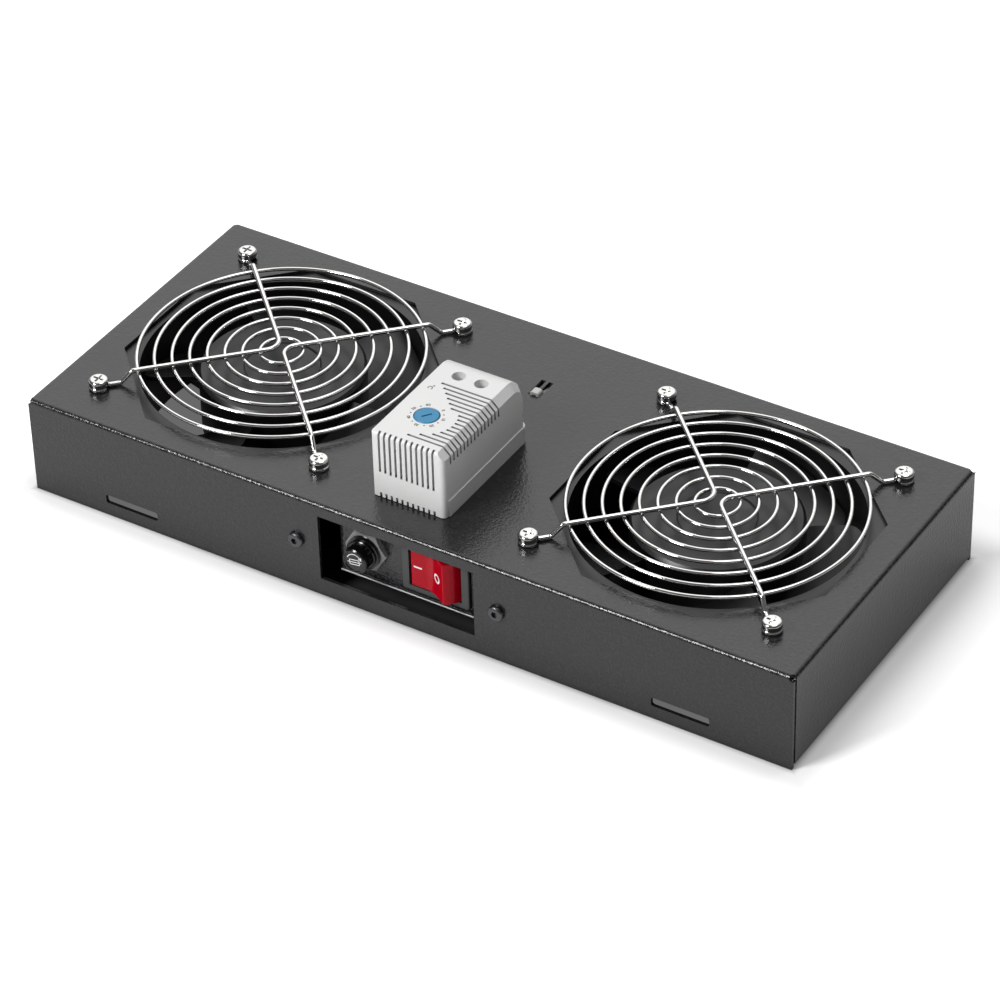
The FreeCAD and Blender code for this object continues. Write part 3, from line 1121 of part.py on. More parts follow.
def thermostat_bimetal():
    """Bimetal strip that bends with the temperature, standing beside the switch block."""
    left = CORE_X + CORE_WIDTH / 2
    foot = CORE_TOP - BIMETAL_HEIGHT
    strip = box(left + 2 * BIMETAL_THICKNESS, left + 3 * BIMETAL_THICKNESS, CORE_FRONT_Y + PAST,
                CORE_FRONT_Y + PAST + BIMETAL_LENGTH, foot, CORE_TOP)
    pad = box(left, left + 2 * BIMETAL_THICKNESS, CORE_FRONT_Y + PAST, CORE_FRONT_Y + PAST + BIMETAL_HEIGHT / 2,
              foot, CORE_TOP)
    return fuse_all([strip, pad])


def thermostat_terminals():
    """Slotted terminal screws under the chimneys."""
    screws = []
    for x, y in terminal_places():
        head = Part.makeCylinder(TERMINAL_HEAD_RADIUS, TERMINAL_HEAD, V(x, y, CORE_TOP))
        shank = rod(TERMINAL_SHANK_RADIUS, V(x, y, CORE_TOP - TERMINAL_SHANK), V(x, y, CORE_TOP))
        slot = box(x - TERMINAL_HEAD_RADIUS - PAST, x + TERMINAL_HEAD_RADIUS + PAST, y - TAB_THICKNESS / 2,
                   y + TAB_THICKNESS / 2, CORE_TOP + TERMINAL_HEAD / 2, CORE_TOP + TERMINAL_HEAD + PAST)
        screws.append(fuse_all([head, shank]).cut(slot))
    return screws


def thermostat_screws():
    """Two screws from under the top plate into the base."""
    length = SHEET + STAT_BOSS_HEIGHT - RUNNING
    return [pan_screw(V(x, y, UNDER), Z * -1, M3_HEAD_RADIUS, M3_HEAD, M3_RADIUS, length) for x, y in STAT_SCREWS]


def thermostat_dial():
    """Setting dial with a screwdriver slot, on a stem that turns in the switch block."""
    top = STAT_TOP + DIAL_PROUD
    dial = turned([(0, -DIAL_THICKNESS), (DIAL_RADIUS, -DIAL_THICKNESS), (DIAL_RADIUS, -DIAL_EDGE),
                   (DIAL_RADIUS - DIAL_EDGE, 0), (0, 0)], V(DIAL_X, DIAL_Y, top), Z)
    stem = rod(DIAL_STEM_RADIUS, V(DIAL_X, DIAL_Y, CORE_TOP - CORE_HEIGHT / 2 + RUNNING),
               V(DIAL_X, DIAL_Y, top - DIAL_THICKNESS / 2))
    slot = box(-DIAL_SLOT_LENGTH / 2, DIAL_SLOT_LENGTH / 2, -DIAL_SLOT_WIDTH / 2, DIAL_SLOT_WIDTH / 2,
               -DIAL_SLOT_DEPTH, PAST)
    slot.rotate(V(0, 0, 0), Z, DIAL_SLOT_TURN)
    slot.translate(V(DIAL_X, DIAL_Y, top))
    return fuse_all([dial, stem]).cut(slot)


# ---- wiring ------------------------------------------------------------------------------------
def plate_grommet():
    """Rubber grommet in the top plate, where the thermostat's lead goes down."""
    return turned([(LEAD / 2 + SLIP, -GROMMET_LIP), (GROMMET_FLANGE, -GROMMET_LIP), (GROMMET_FLANGE, 0),
                   (GROMMET_NECK, 0), (GROMMET_NECK, BASE_FLOOR - UNDER), (LEAD / 2 + SLIP, BASE_FLOOR - UNDER)],
                  V(GROMMET_X, GROMMET_Y, UNDER), Z)


def mains_grommet():
    """Rubber grommet in the back flange for the mains cable."""
    inside = -SHEET - MAINS_LIP
    neck = MAINS_HOLE - SLIP / 2
    return turned([(MAINS_BORE, inside), (MAINS_LIP_RADIUS, inside), (MAINS_LIP_RADIUS, -SHEET), (neck, -SHEET),
                   (neck, 0), (MAINS_LIP_RADIUS, 0), (MAINS_LIP_RADIUS - MAINS_LIP_TAPER, MAINS_LIP), (MAINS_BORE, MAINS_LIP)],
                  V(MAINS_X, TRAY_DEPTH / 2, MAINS_Z), Y)


def pole_places():
    """Middle of each pole of the terminal block."""
    return [(index - (BLOCK_POLES - 1) / 2) * BLOCK_PITCH for index in range(BLOCK_POLES)]


def terminal_block():
    """Moulded terminal block against the back flange, one wire entry a pole on each side."""
    half = BLOCK_POLES * BLOCK_PITCH / 2
    block = box(-half, half, BLOCK_FACE, BACK_INNER, BLOCK_TOP - BLOCK_HEIGHT, BLOCK_TOP)
    cuts = []
    for sx in (-1, 1):
        hole = V(sx * BLOCK_SCREW_X, BACK_INNER + PAST, ENTRY_Z)
        cuts.append(rod(M3_RADIUS + SHAFT_PLAY, hole, hole - Y * (PAST + BLOCK_SCREW_REACH + BLOCK_SCREW_SPARE)))
    for x in pole_places():
        cuts.append(rod(BLOCK_ENTRY, V(x, BLOCK_FACE - PAST, ENTRY_Z), V(x, BLOCK_FACE + BLOCK_ENTRY_DEPTH, ENTRY_Z)))
        driver = V(x, BLOCK_FACE + BLOCK_DRIVER_BEHIND, BLOCK_TOP - BLOCK_HEIGHT)
        cuts.append(rod(BLOCK_ENTRY, driver - Z * PAST, driver + Z * BLOCK_DRIVER_DEPTH))
    for x in pole_places()[1:]:
        middle = x - BLOCK_PITCH / 2
        cuts.append(box(middle - BLOCK_SLOT / 2, middle + BLOCK_SLOT / 2, BLOCK_FACE - PAST,
                        BLOCK_FACE + BLOCK_ENTRY_DEPTH,
                        BLOCK_TOP - BLOCK_HEIGHT - PAST, BLOCK_TOP + PAST))
    return block.cut(cuts)


def terminal_block_screws():
    """Two screws through the back flange into the block."""
    length = SHEET + BLOCK_SCREW_REACH
    return [pan_screw(V(sx * BLOCK_SCREW_X, TRAY_DEPTH / 2, ENTRY_Z), Y, M3_HEAD_RADIUS, M3_HEAD, M3_RADIUS, length)
            for sx in (-1, 1)]


def fan_lead(fan_x, side, name):
    """Lead from a fan's boss to the outer pole on its side."""
    end, out = lead_boss(fan_x, side)[1:]
    start = end + out * RUNNING
    pole = side * BLOCK_PITCH * (BLOCK_POLES - 1) / 2
    route = [tuple(start), (pole, start.y + 9.0, ENTRY_Z - 6.5), (pole, BLOCK_FACE + SLIP, ENTRY_Z)]
    return lead(route, LEAD, name)


def tie_lead_z():
    """Height of the lead where the tie holds it."""
    return UNDER - TIE_THICKNESS - LEAD / 2 - SLIP


def cable_tie():
    """Nylon tie over the bridge between the two slots and round the thermostat's lead below it."""
    half = TIE_BRIDGE / 2 + SLIP
    ring = LEAD / 2 + SLIP
    top = TRAY_HEIGHT + SLIP
    centre = V(TIE_X, TIE_BAND_Y - TIE_WIDTH / 2, tie_lead_z())
    outer = box(TIE_X - half - TIE_THICKNESS, TIE_X + half + TIE_THICKNESS, TIE_BAND_Y - TIE_WIDTH / 2,
                TIE_BAND_Y + TIE_WIDTH / 2, tie_lead_z(), top + TIE_THICKNESS)
    outer = round_edges(outer, TIE_THICKNESS, lambda b: b.ZMin > top and b.YMax - b.YMin > PAST)
    loop = fuse_all([outer, Part.makeCylinder(ring + TIE_THICKNESS, TIE_WIDTH, centre, Y),
                     box(TIE_X - TIE_HEAD / 2, TIE_X + TIE_HEAD / 2, TIE_BAND_Y - TIE_HEAD / 2,
                         TIE_BAND_Y + TIE_HEAD / 2, centre.z - ring - TIE_HEAD, centre.z - ring - SLIP)])
    inner = box(TIE_X - half, TIE_X + half, centre.y - PAST, centre.y + TIE_WIDTH + PAST, tie_lead_z(), top)
    return loop.cut([inner, Part.makeCylinder(ring, TIE_WIDTH + 2 * TIE_HEAD, centre - Y * TIE_HEAD, Y)])


# ---- every node --------------------------------------------------------------------------------
save("tray_chassis", tray_chassis())
save("switch_bracket", switch_bracket())
ear_screw_length = SHEET + BRACKET_SHEET + M4_NUT + THREAD_SHOW
ear_places = [V(sx * EAR_SCREW_PITCH / 2, FRONT, EAR_SCREW_Z) for sx in (-1, 1)]
save("bracket_screws", *[socket_screw(place, Y * -1, ear_screw_length) for place in ear_places])
save("bracket_nuts", *[nut(place + Y * (SHEET + BRACKET_SHEET), Y) for place in ear_places])

for label, side, first_turn in (("left", -1, LEFT_BLADE_TURN), ("right", 1, RIGHT_BLADE_TURN)):
    fan_x = side * FAN_SPACING / 2
    save(label + "_fan_frame", fan_frame(fan_x, side))
    save(label + "_fan_bearings", *fan_bearings(fan_x))
    save(label + "_fan_stator", *fan_stator(fan_x))
    save(label + "_fan_rotor", fan_rotor(fan_x, first_turn))
    save(label + "_fan_shaft", fan_shaft(fan_x))
    save(label + "_finger_guard", finger_guard(fan_x))
    save(label + "_guard_screws", *guard_screws(fan_x))
    save(label + "_guard_nuts", *guard_nuts(fan_x))
    save(label + "_fan_lead", fan_lead(fan_x, side, label + "_fan_lead"))

save("switch_housing", switch_housing())
save("switch_rocker", switch_rocker())
save("switch_terminals", *switch_terminals())
save("fuse_holder_body", fuse_holder_body())
save("fuse_holder_nut", fuse_holder_nut())
save("fuse_holder_terminals", *fuse_holder_terminals())
save("fuse_cap", fuse_cap())
save("fuse_glass", fuse_glass())
save("fuse_ferrules", *fuse_ferrules())

save("thermostat_base", thermostat_base())
save("thermostat_cover", thermostat_cover())
save("thermostat_core", thermostat_core())
save("thermostat_bimetal", thermostat_bimetal())
save("thermostat_terminals", *thermostat_terminals())
save("thermostat_screws", *thermostat_screws())
save("thermostat_dial", thermostat_dial())

save("plate_grommet", plate_grommet())
save("mains_grommet", mains_grommet())
save("terminal_block", terminal_block())
save("terminal_block_screws", *terminal_block_screws())
save("cable_tie", cable_tie())
save("thermostat_lead", lead([(GROMMET_X, GROMMET_Y, CORE_TOP - CORE_LEDGE_HEIGHT - SLIP),
                              (GROMMET_X, GROMMET_Y, 28.5), (-1.6, 11.0, 28.5),
                              (TIE_X, TIE_BAND_Y - TIE_RUN, tie_lead_z()), (TIE_X, TIE_BAND_Y + TIE_RUN, tie_lead_z()),
                              (0.0, BLOCK_FACE + SLIP, ENTRY_Z)],
                             LEAD, "thermostat_lead"))
switch_back = PANEL_Y + SWITCH_BODY_DEPTH + TAB_LENGTH + SLIP
save("switch_lead", lead([(SWITCH_X, switch_back, SWITCH_Z), (SWITCH_X - 1.0, -20.0, SWITCH_Z + 0.5),
                          (11.5, 0.0, SWITCH_Z + 2.5), (10.5, 20.0, SWITCH_Z + 4.0),
                          (BLOCK_PITCH + 0.5, BLOCK_FACE - LEAD_RUN_IN, ENTRY_Z + 0.3), (BLOCK_PITCH, BLOCK_FACE + SLIP, ENTRY_Z)],
                         LEAD, "switch_lead"))
fuse_back = PANEL_Y + BRACKET_SHEET + FUSE_BARREL + TAB_LENGTH + SLIP
save("fuse_lead", lead([(FUSE_X, fuse_back, FUSE_Z), (FUSE_X + 1.0, -14.0, FUSE_Z + 1.0),
                        (-13.5, 4.0, FUSE_Z + 3.5), (-12.0, 22.0, FUSE_Z + 4.5),
                        (-BLOCK_PITCH - 0.6, BLOCK_FACE - LEAD_RUN_IN, ENTRY_Z + 0.3), (-BLOCK_PITCH, BLOCK_FACE + SLIP, ENTRY_Z)],
                       LEAD, "fuse_lead"))
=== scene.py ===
# %% [markdown]
# # A rack fan tray
# The tray is a folded sheet of steel with a black powder coat. Two mains fans hang under round wire
# guards, a white thermostat stands between them, and a switch and a fuse holder sit in a window of
# the front. The measured parts come from the CAD model. Here they get their finishes, the printed
# marks, and the few pieces whose look needs a finer shape.

# %% Load the measured parts
import json
import math

import bmesh
import bpy
from mathutils import Matrix, Vector
from mathutils.bvhtree import BVHTree


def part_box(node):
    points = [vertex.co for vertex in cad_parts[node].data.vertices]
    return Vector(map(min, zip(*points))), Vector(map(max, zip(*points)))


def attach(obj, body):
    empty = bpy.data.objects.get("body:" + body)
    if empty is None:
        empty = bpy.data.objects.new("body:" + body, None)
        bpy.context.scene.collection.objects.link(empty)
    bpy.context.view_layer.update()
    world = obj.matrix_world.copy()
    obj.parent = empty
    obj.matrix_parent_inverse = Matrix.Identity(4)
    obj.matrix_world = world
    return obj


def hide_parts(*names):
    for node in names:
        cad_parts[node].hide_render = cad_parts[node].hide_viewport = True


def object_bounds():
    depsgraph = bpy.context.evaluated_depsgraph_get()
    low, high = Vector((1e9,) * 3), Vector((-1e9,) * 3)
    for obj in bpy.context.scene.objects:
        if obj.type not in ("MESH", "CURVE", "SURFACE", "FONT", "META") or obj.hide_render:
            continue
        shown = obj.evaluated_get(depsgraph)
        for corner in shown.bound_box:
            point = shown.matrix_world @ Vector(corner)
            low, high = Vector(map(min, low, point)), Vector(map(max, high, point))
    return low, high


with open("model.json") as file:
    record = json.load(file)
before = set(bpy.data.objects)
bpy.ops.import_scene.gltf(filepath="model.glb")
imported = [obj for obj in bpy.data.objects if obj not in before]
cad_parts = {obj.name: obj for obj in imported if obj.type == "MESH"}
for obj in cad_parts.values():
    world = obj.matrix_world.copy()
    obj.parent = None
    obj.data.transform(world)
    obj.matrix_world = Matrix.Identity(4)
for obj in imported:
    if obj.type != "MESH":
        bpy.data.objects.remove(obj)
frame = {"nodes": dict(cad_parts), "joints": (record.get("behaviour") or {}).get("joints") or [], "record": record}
nodes = frame["nodes"]
cad_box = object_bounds()
print("parts:", len(nodes), "box:", cad_box)

# %% [markdown]
# ## Colour and nodes
# Colours are written as the hex values that a screen shows. Blender works in linear light, so one
# function turns them. Every material is a small tree of nodes, so one more function adds a node,
# sets it and links it, and the rest of the file stays short.

# %% Colours from hex, and one helper for nodes
MM = 0.001


def linear(hex_colour):
    """An sRGB hex colour as linear red, green, blue and full alpha."""
    parts = [int(hex_colour[i:i + 2], 16) / 255 for i in (1, 3, 5)]
    return [p / 12.92 if p <= 0.04045 else ((p + 0.055) / 1.055) ** 2.4 for p in parts] + [1.0]


def add(tree, kind, settings=None, sockets=None):
    """Adds a node, sets its properties, and sets or links its input sockets."""
    node = tree.nodes.new("ShaderNode" + kind)
    for name, value in (settings or {}).items():
        setattr(node, name, value)
    for name, value in (sockets or {}).items():
        if isinstance(value, bpy.types.NodeSocket):
            tree.links.new(value, node.inputs[name])
        else:
            node.inputs[name].default_value = value
    return node


def new_material(name, **shader_values):
    """A material with one Principled shader; returns it with its tree and its shader."""
    material = bpy.data.materials.new(name)
    material.use_nodes = True
    tree = material.node_tree
    shader = tree.nodes["Principled BSDF"]
    for socket, value in shader_values.items():
        shader.inputs[socket.replace("_", " ")].default_value = value
    return material, tree, shader


print("mid grey in linear light:", linear("#808080")[0])

# %% [markdown]
# ## Black powder coat
# The tray is sprayed with a dry powder that melts in an oven. It flows into a skin with a fine
# hammered relief, so reflections break up into small flecks. Two noises make that relief: a
# coarser one for the dimples, about 1.2 mm apart, and a finer one for the skin between them. The
# coat is thinner and a little paler on the tops, so the same dimples also shift the colour. Real
# dimples on the mesh would need millions of faces, and a bump shows them as well.

# %% Powder coat
NOISE_SPAN = {"From Min": 0.3, "From Max": 0.7}
COAT_SPAN = {"From Min": 0.35, "From Max": 0.65}
DIMPLE_MM = 1.2
SKIN_MM = 0.6
SKIN_SHARE = 0.12
DIMPLE_DEPTH_MM = 0.25
THIN_COAT = 1.35
THICK_COAT = 0.7
GLOSS_SPREAD = 0.15


def powder_coat(name, colour, relief, roughness):
    """Semi-gloss black powder coat with a hammered relief."""
    material, tree, shader = new_material(name, Base_Color=linear(colour), IOR=1.5)
    place = add(tree, "TexCoord").outputs["Object"]
    dimples = add(tree, "TexNoise", {"noise_dimensions": "3D"},
                  {"Vector": place, "Scale": 1 / (DIMPLE_MM * MM), "Detail": 2.0, "Roughness": 0.5})
    skin = add(tree, "TexNoise", {"noise_dimensions": "3D"},
               {"Vector": place, "Scale": 1 / (SKIN_MM * MM), "Detail": 1.0, "Roughness": 0.5})
    both = add(tree, "Math", {"operation": "MULTIPLY_ADD"},
               {0: skin.outputs[0], 1: SKIN_SHARE, 2: dimples.outputs[0]})
    bump = add(tree, "Bump", None,
               {"Strength": relief, "Distance": DIMPLE_DEPTH_MM * MM, "Height": both.outputs[0]})
    tree.links.new(bump.outputs[0], shader.inputs["Normal"])
    thin, thick = ([share * part for part in linear(colour)[:3]] + [1.0]
                   for share in (THIN_COAT, THICK_COAT))
    cover = add(tree, "MapRange", None, {"Value": dimples.outputs[0], **COAT_SPAN})
    tint = add(tree, "Mix", {"data_type": "RGBA"}, {0: cover.outputs[0], 6: thick, 7: thin})
    tree.links.new(tint.outputs[2], shader.inputs["Base Color"])
    gloss = add(tree, "MapRange", None, {"Value": dimples.outputs[0], **NOISE_SPAN,
                                         "To Min": roughness * (1 - GLOSS_SPREAD),
                                         "To Max": roughness * (1 + GLOSS_SPREAD)})
    tree.links.new(gloss.outputs[0], shader.inputs["Roughness"])
    return material


# A smooth-looking black that mirrors the sky softly.
BLACK_COAT = powder_coat("black powder coat", "#202021", 0.6, 0.2)
# The bracket's coat has a deeper relief, so it sparkles.
ROUGH_COAT = powder_coat("hammered black powder coat", "#242425", 0.9, 0.17)
print("made", BLACK_COAT.name, "and", ROUGH_COAT.name)

# %% [markdown]
# ## Moulded plastics
# Fans, switch and leads are injection moulded or extruded. A mould leaves a faint grain, and a
# glossy black, a dull black and a grey only differ in colour, roughness and grain. So one function
# makes them all, with a grain that is sized in millimetres.

# %% Plastics
GRAIN_DEPTH_MM = 0.05
GRAIN_SPREAD = 0.1


def moulded(name, colour, roughness, grain_mm=0.35, relief=0.12, **more):
    """Injection-moulded plastic with the faint grain of its mould."""
    material, tree, shader = new_material(name, Base_Color=linear(colour), Roughness=roughness,
                                          IOR=1.49, **more)
    grain = add(tree, "TexNoise", None, {"Vector": add(tree, "TexCoord").outputs["Object"],
                                         "Scale": 1 / (grain_mm * MM), "Detail": 2.0})
    bump = add(tree, "Bump", None,
               {"Strength": relief, "Distance": GRAIN_DEPTH_MM * MM, "Height": grain.outputs[0]})
    tree.links.new(bump.outputs[0], shader.inputs["Normal"])
    spread = add(tree, "MapRange", None, {"Value": grain.outputs[0], **NOISE_SPAN,
                                          "To Min": roughness * (1 - GRAIN_SPREAD),
                                          "To Max": roughness * (1 + GRAIN_SPREAD)})
    tree.links.new(spread.outputs[0], shader.inputs["Roughness"])
    return material


# Glass-filled polyester: deep black, with soft wide highlights on the blades.
FAN_PLASTIC = moulded("black fan plastic", "#0e0e0f", 0.36)
# Nylon: the switch's frame looks dark grey beside the coat.
SWITCH_PLASTIC = moulded("black switch plastic", "#3a3b3c", 0.42)
# Phenolic: polished, with sharp small highlights.
GLOSS_BLACK = moulded("glossy black plastic", "#0c0c0d", 0.16, relief=0.04)
GREY_PLASTIC = moulded("grey plastic", "#808181", 0.45)
# Even and slightly dull, so the dial reads as a flat disc.
BLUE_PLASTIC = moulded("blue plastic", "#2c7fa9", 0.42)
# Inks lie flat and hardly shine.
WHITE_INK = moulded("white printing ink", "#ececec", 0.5, relief=0.02)
GREY_INK = moulded("dark grey printing ink", "#0c0c0d", 0.5, relief=0.02)
# Undyed nylon lets a little light in at its edges and looks pale grey.
NYLON = moulded("natural nylon", "#c9c8c4", 0.4)
# Rubber is dull and slightly rough.
RUBBER = moulded("black rubber", "#18181a", 0.6, relief=0.3)
BLACK_PVC = moulded("black lead sleeve", "#17171a", 0.45)
WHITE_PVC = moulded("white lead sleeve", "#d8d7d2", 0.4)
# Clear red polycarbonate: light spreads inside it, so its edges glow.
RED_PLASTIC = moulded("translucent red plastic", "#a8031a", 0.14, relief=0.02, Subsurface_Weight=0.3,
                      Subsurface_Radius=(0.004, 0.0006, 0.0006), Subsurface_Scale=1.0,
                      Specular_IOR_Level=0.14)
print("plastics made")

# %% [markdown]
# ## White plastic and its vents
# The thermostat's shells are white polycarbonate. Little light gets into narrow vents and grooves,
# so they look dark grey. The lamps alone leave them too pale, because white walls pass light on. An
# ambient occlusion node finds how open each spot is, and mixes in a grey where it is closed: painted shade.

# %% White plastic with painted shade in its vents
VENT_SHADE = linear("#55575a")
VENT_REACH = 1.3 * MM
VENT_SPAN = {"From Min": 0.3, "From Max": 0.8}


def paint_vent_shade(material):
    """Mixes a painted dark-grey shade into a plastic where its own walls close it in."""
    tree = material.node_tree
    base = tree.nodes["Principled BSDF"].inputs["Base Color"]
    plain = tuple(base.default_value)
    open_air = add(tree, "AmbientOcclusion", {"samples": 8, "only_local": True},
                   {"Distance": VENT_REACH})
    depth = add(tree, "MapRange", None, {"Value": open_air.outputs["AO"], **VENT_SPAN})
    shade = add(tree, "Mix", {"data_type": "RGBA"}, {0: depth.outputs[0], 6: VENT_SHADE, 7: plain})
    tree.links.new(shade.outputs[2], base)


# A fine satin white.
WHITE_PLASTIC = moulded("white polycarbonate", "#e0e0df", 0.42, relief=0.08)
paint_vent_shade(WHITE_PLASTIC)
print("vents darken within", VENT_REACH / MM, "mm")

# %% [markdown]
# ## Metals
# The guards are drawn wire with bright nickel, the screws are zinc plated. Both are nearly mirrors,
# with faint streaks. Copper and brass show under the tray. One function makes them all: a metal is
# its colour and its polish, and a noise makes the polish uneven.

# %% Metals
POLISH_SPAN = (0.7, 1.4)


def plated(name, colour, roughness, streak_mm=0.4):
    """Bright plated metal with a slightly uneven polish."""
    material, tree, shader = new_material(name, Base_Color=linear(colour), Metallic=1.0,
                                          Roughness=roughness)
    streaks = add(tree, "TexNoise", None, {"Vector": add(tree, "TexCoord").outputs["Object"],
                                           "Scale": 1 / (streak_mm * MM), "Detail": 3.0})
    spread = add(tree, "MapRange", None, {"Value": streaks.outputs[0], **NOISE_SPAN,
                                          "To Min": roughness * POLISH_SPAN[0],
                                          "To Max": roughness * POLISH_SPAN[1]})
    tree.links.new(spread.outputs[0], shader.inputs["Roughness"])
    return material


# Nearly a mirror: white along its top and black along its sides.
NICKEL = plated("bright nickel wire", "#dcdbd9", 0.08)
# A little softer than nickel.
ZINC = plated("zinc plated steel", "#c9c9c7", 0.13)
# Dark, with a soft grey shine.
BLACK_OXIDE = plated("black oxide steel", "#58585a", 0.35)
GROUND_STEEL = plated("ground steel", "#c2c2c0", 0.25)
# A bright plated grey for the painted highlight along the panel's foot.
HIGHLIGHT_ROD_METAL = plated("bright metal for a painted highlight", "#a9a9ab", 0.48)
# Varnish makes the winding a warm brown.
COPPER = plated("enamelled copper", "#b86a3a", 0.35)
BRASS = plated("brass", "#c9a75a", 0.3)
BIMETAL = plated("bimetal strip", "#b5a888", 0.3)
# Clear tube of the fuse.
GLASS, _, _ = new_material("fuse glass", Base_Color=linear("#f2f5f5"), Roughness=0.03, IOR=1.52,
                           Transmission_Weight=1.0)
print("metals made")

# %% [markdown]
# ## Dress the measured parts
# The record names a finish for every part. A table from that name to a material dresses them all,
# so no part is forgotten. Two parts differ from their family, and a second table names them.

# %% Give each measured part its material
FINISH = {
    "black_steel": BLACK_COAT, "black_plastic": FAN_PLASTIC, "gloss_black": GLOSS_BLACK,
    "bright_wire": NICKEL, "zinc_steel": ZINC, "dark_steel": BLACK_OXIDE,
    "bearing_steel": GROUND_STEEL, "copper": COPPER, "brass": BRASS, "white_plastic": WHITE_PLASTIC,
    "blue_plastic": BLUE_PLASTIC, "red_plastic": RED_PLASTIC, "grey_plastic": GREY_PLASTIC,
    "glass": GLASS, "bimetal": BIMETAL, "black_rubber": RUBBER, "nylon": NYLON,
    "lead_black": BLACK_PVC, "lead_white": WHITE_PVC,
}
SPECIAL = {"switch_housing": SWITCH_PLASTIC, "switch_bracket": ROUGH_COAT}

for part in frame["record"]["subparts"]:
    node = nodes[part["node"]]
    finish = SPECIAL.get(part["node"], FINISH[part["material_slot"]])
    node.data.materials.clear()
    node.data.materials.append(finish)

# %% [markdown]
# ## Printed marks
# The dial's scale, the switch's signs and the cap's sign are printed with ink, a few hundredths of a
# millimetre thick. An image could paint them on, but a thin solid keeps its sharp edge at any
# distance and goes into every export, so each mark is a flat closed piece sunk halfway into the
# surface that carries it. Letters come from Blender's own font, turned into a mesh.

# %% Helpers for printed marks
INK = 0.06 * MM
BOLD = 0.035 * MM
DIGIT_SHARE = 0.72
SAME_SPOT = 0.0005 * MM


def lie_on(node_name, start, direction):
    """A frame on a part's surface: X to the right, Y up or back, Z out of the surface."""
    skin = bmesh.new()
    skin.from_mesh(nodes[node_name].data)
    spot, normal, _, _ = BVHTree.FromBMesh(skin).ray_cast(Vector(start), Vector(direction))
    skin.free()
    upward = Vector((0, 1, 0)) if abs(normal.z) > 0.7 else Vector((0, 0, 1))
    side = upward.cross(normal).normalized()
    upright = normal.cross(side)
    turn = Matrix((side, upright, normal)).transposed().to_4x4()
    return Matrix.Translation(spot) @ turn


def add_letters(shape, text, height, place):
    """Adds flat characters of a given height to a bmesh."""
    curve = bpy.data.curves.new("letters", "FONT")
    curve.body = text
    curve.size = height / DIGIT_SHARE
    curve.align_x = "CENTER"
    curve.align_y = "CENTER"
    curve.extrude = INK / 2
    curve.offset = BOLD
    helper = bpy.data.objects.new("letters", curve)
    letters = bpy.data.meshes.new_from_object(helper)
    letters.transform(place)
    shape.from_mesh(letters)
    bpy.data.objects.remove(helper)
    bpy.data.meshes.remove(letters)


def add_bar(shape, length, width, place):
    """Adds a flat bar to a bmesh."""
    bmesh.ops.create_cube(shape, size=1.0, matrix=place @ Matrix.Diagonal((length, width, INK, 1.0)))


def finish_piece(shape, name, material, body):
    """Turns a bmesh into a closed piece that rides a body."""
    bmesh.ops.remove_doubles(shape, verts=shape.verts, dist=SAME_SPOT)
    bmesh.ops.recalc_face_normals(shape, faces=shape.faces)
    mesh = bpy.data.meshes.new(name)
    shape.to_mesh(mesh)
    shape.free()
    mesh.materials.append(material)
    piece = bpy.data.objects.new(name, mesh)
    bpy.context.scene.collection.objects.link(piece)
    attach(piece, body)
    print(name, len(mesh.polygons), "faces")
    return piece


print("ink is", INK / MM, "mm thick")

# %% [markdown]
# ## The thermostat's dial
# The dial is a flat blue disc on a stem, with a short slot for a screwdriver. It is turned once
# round its axis from half of its section, as on a lathe, and a small block cuts the slot. A Boolean
# makes that cut exact, where pushing faces about would leave a rough edge.

# %% A helper that cuts one shape with another
def cut(shape, cutter):
    """The first bmesh less the second, by Blender's exact Boolean."""
    pair = []
    for part in (shape, cutter):
        mesh = bpy.data.meshes.new("rough")
        part.to_mesh(mesh)
        part.free()
        pair.append(bpy.data.objects.new("rough", mesh))
        bpy.context.scene.collection.objects.link(pair[-1])
    knife = pair[0].modifiers.new("slot", "BOOLEAN")
    knife.object = pair[1]
    knife.solver = "EXACT"
    done = bmesh.new()
    done.from_object(pair[0], bpy.context.evaluated_depsgraph_get())
    for rough in pair:
        bpy.data.objects.remove(rough)
    return done


print("cuts are exact")

# %% Setting dial
DIAL_RADIUS = 5.0 * MM
DIAL_DISC = 2.4 * MM
DIAL_STEM = 2.5 * MM
DIAL_EDGE = 0.3 * MM
DIAL_STEPS = 64
SLOT_LENGTH = 4.2 * MM
SLOT_WIDTH = 0.75 * MM
SLOT_DEPTH = 0.8 * MM
SLOT_TURN = math.radians(52)

dial_low, dial_high = (Vector(corner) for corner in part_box("thermostat_dial"))
dial_middle = (dial_low + dial_high) / 2
half_section = [
    (0, dial_high.z),
    (DIAL_RADIUS - DIAL_EDGE, dial_high.z),
    (DIAL_RADIUS, dial_high.z - DIAL_EDGE),
    (DIAL_RADIUS, dial_high.z - DIAL_DISC),
    (DIAL_STEM, dial_high.z - DIAL_DISC),
    (DIAL_STEM, dial_low.z),
    (0, dial_low.z),
]
dial = bmesh.new()
points = [dial.verts.new((dial_middle.x + r, dial_middle.y, z)) for r, z in half_section]
rim = [dial.edges.new(pair) for pair in zip(points, points[1:])]
bmesh.ops.spin(dial, geom=points + rim, cent=dial_middle, axis=(0, 0, 1), angle=2 * math.pi,
               steps=DIAL_STEPS, use_merge=True)
bmesh.ops.remove_doubles(dial, verts=dial.verts, dist=SAME_SPOT)
bmesh.ops.recalc_face_normals(dial, faces=dial.faces)
block = bmesh.new()
bmesh.ops.create_cube(block, size=1.0,
                      matrix=Matrix.Translation((dial_middle.x, dial_middle.y, dial_high.z))
                      @ Matrix.Rotation(SLOT_TURN, 4, "Z")
                      @ Matrix.Diagonal((SLOT_LENGTH, SLOT_WIDTH, 2 * SLOT_DEPTH, 1.0)))
setting_dial = finish_piece(cut(dial, block), "setting_dial", BLUE_PLASTIC, "dial")
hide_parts("thermostat_dial")

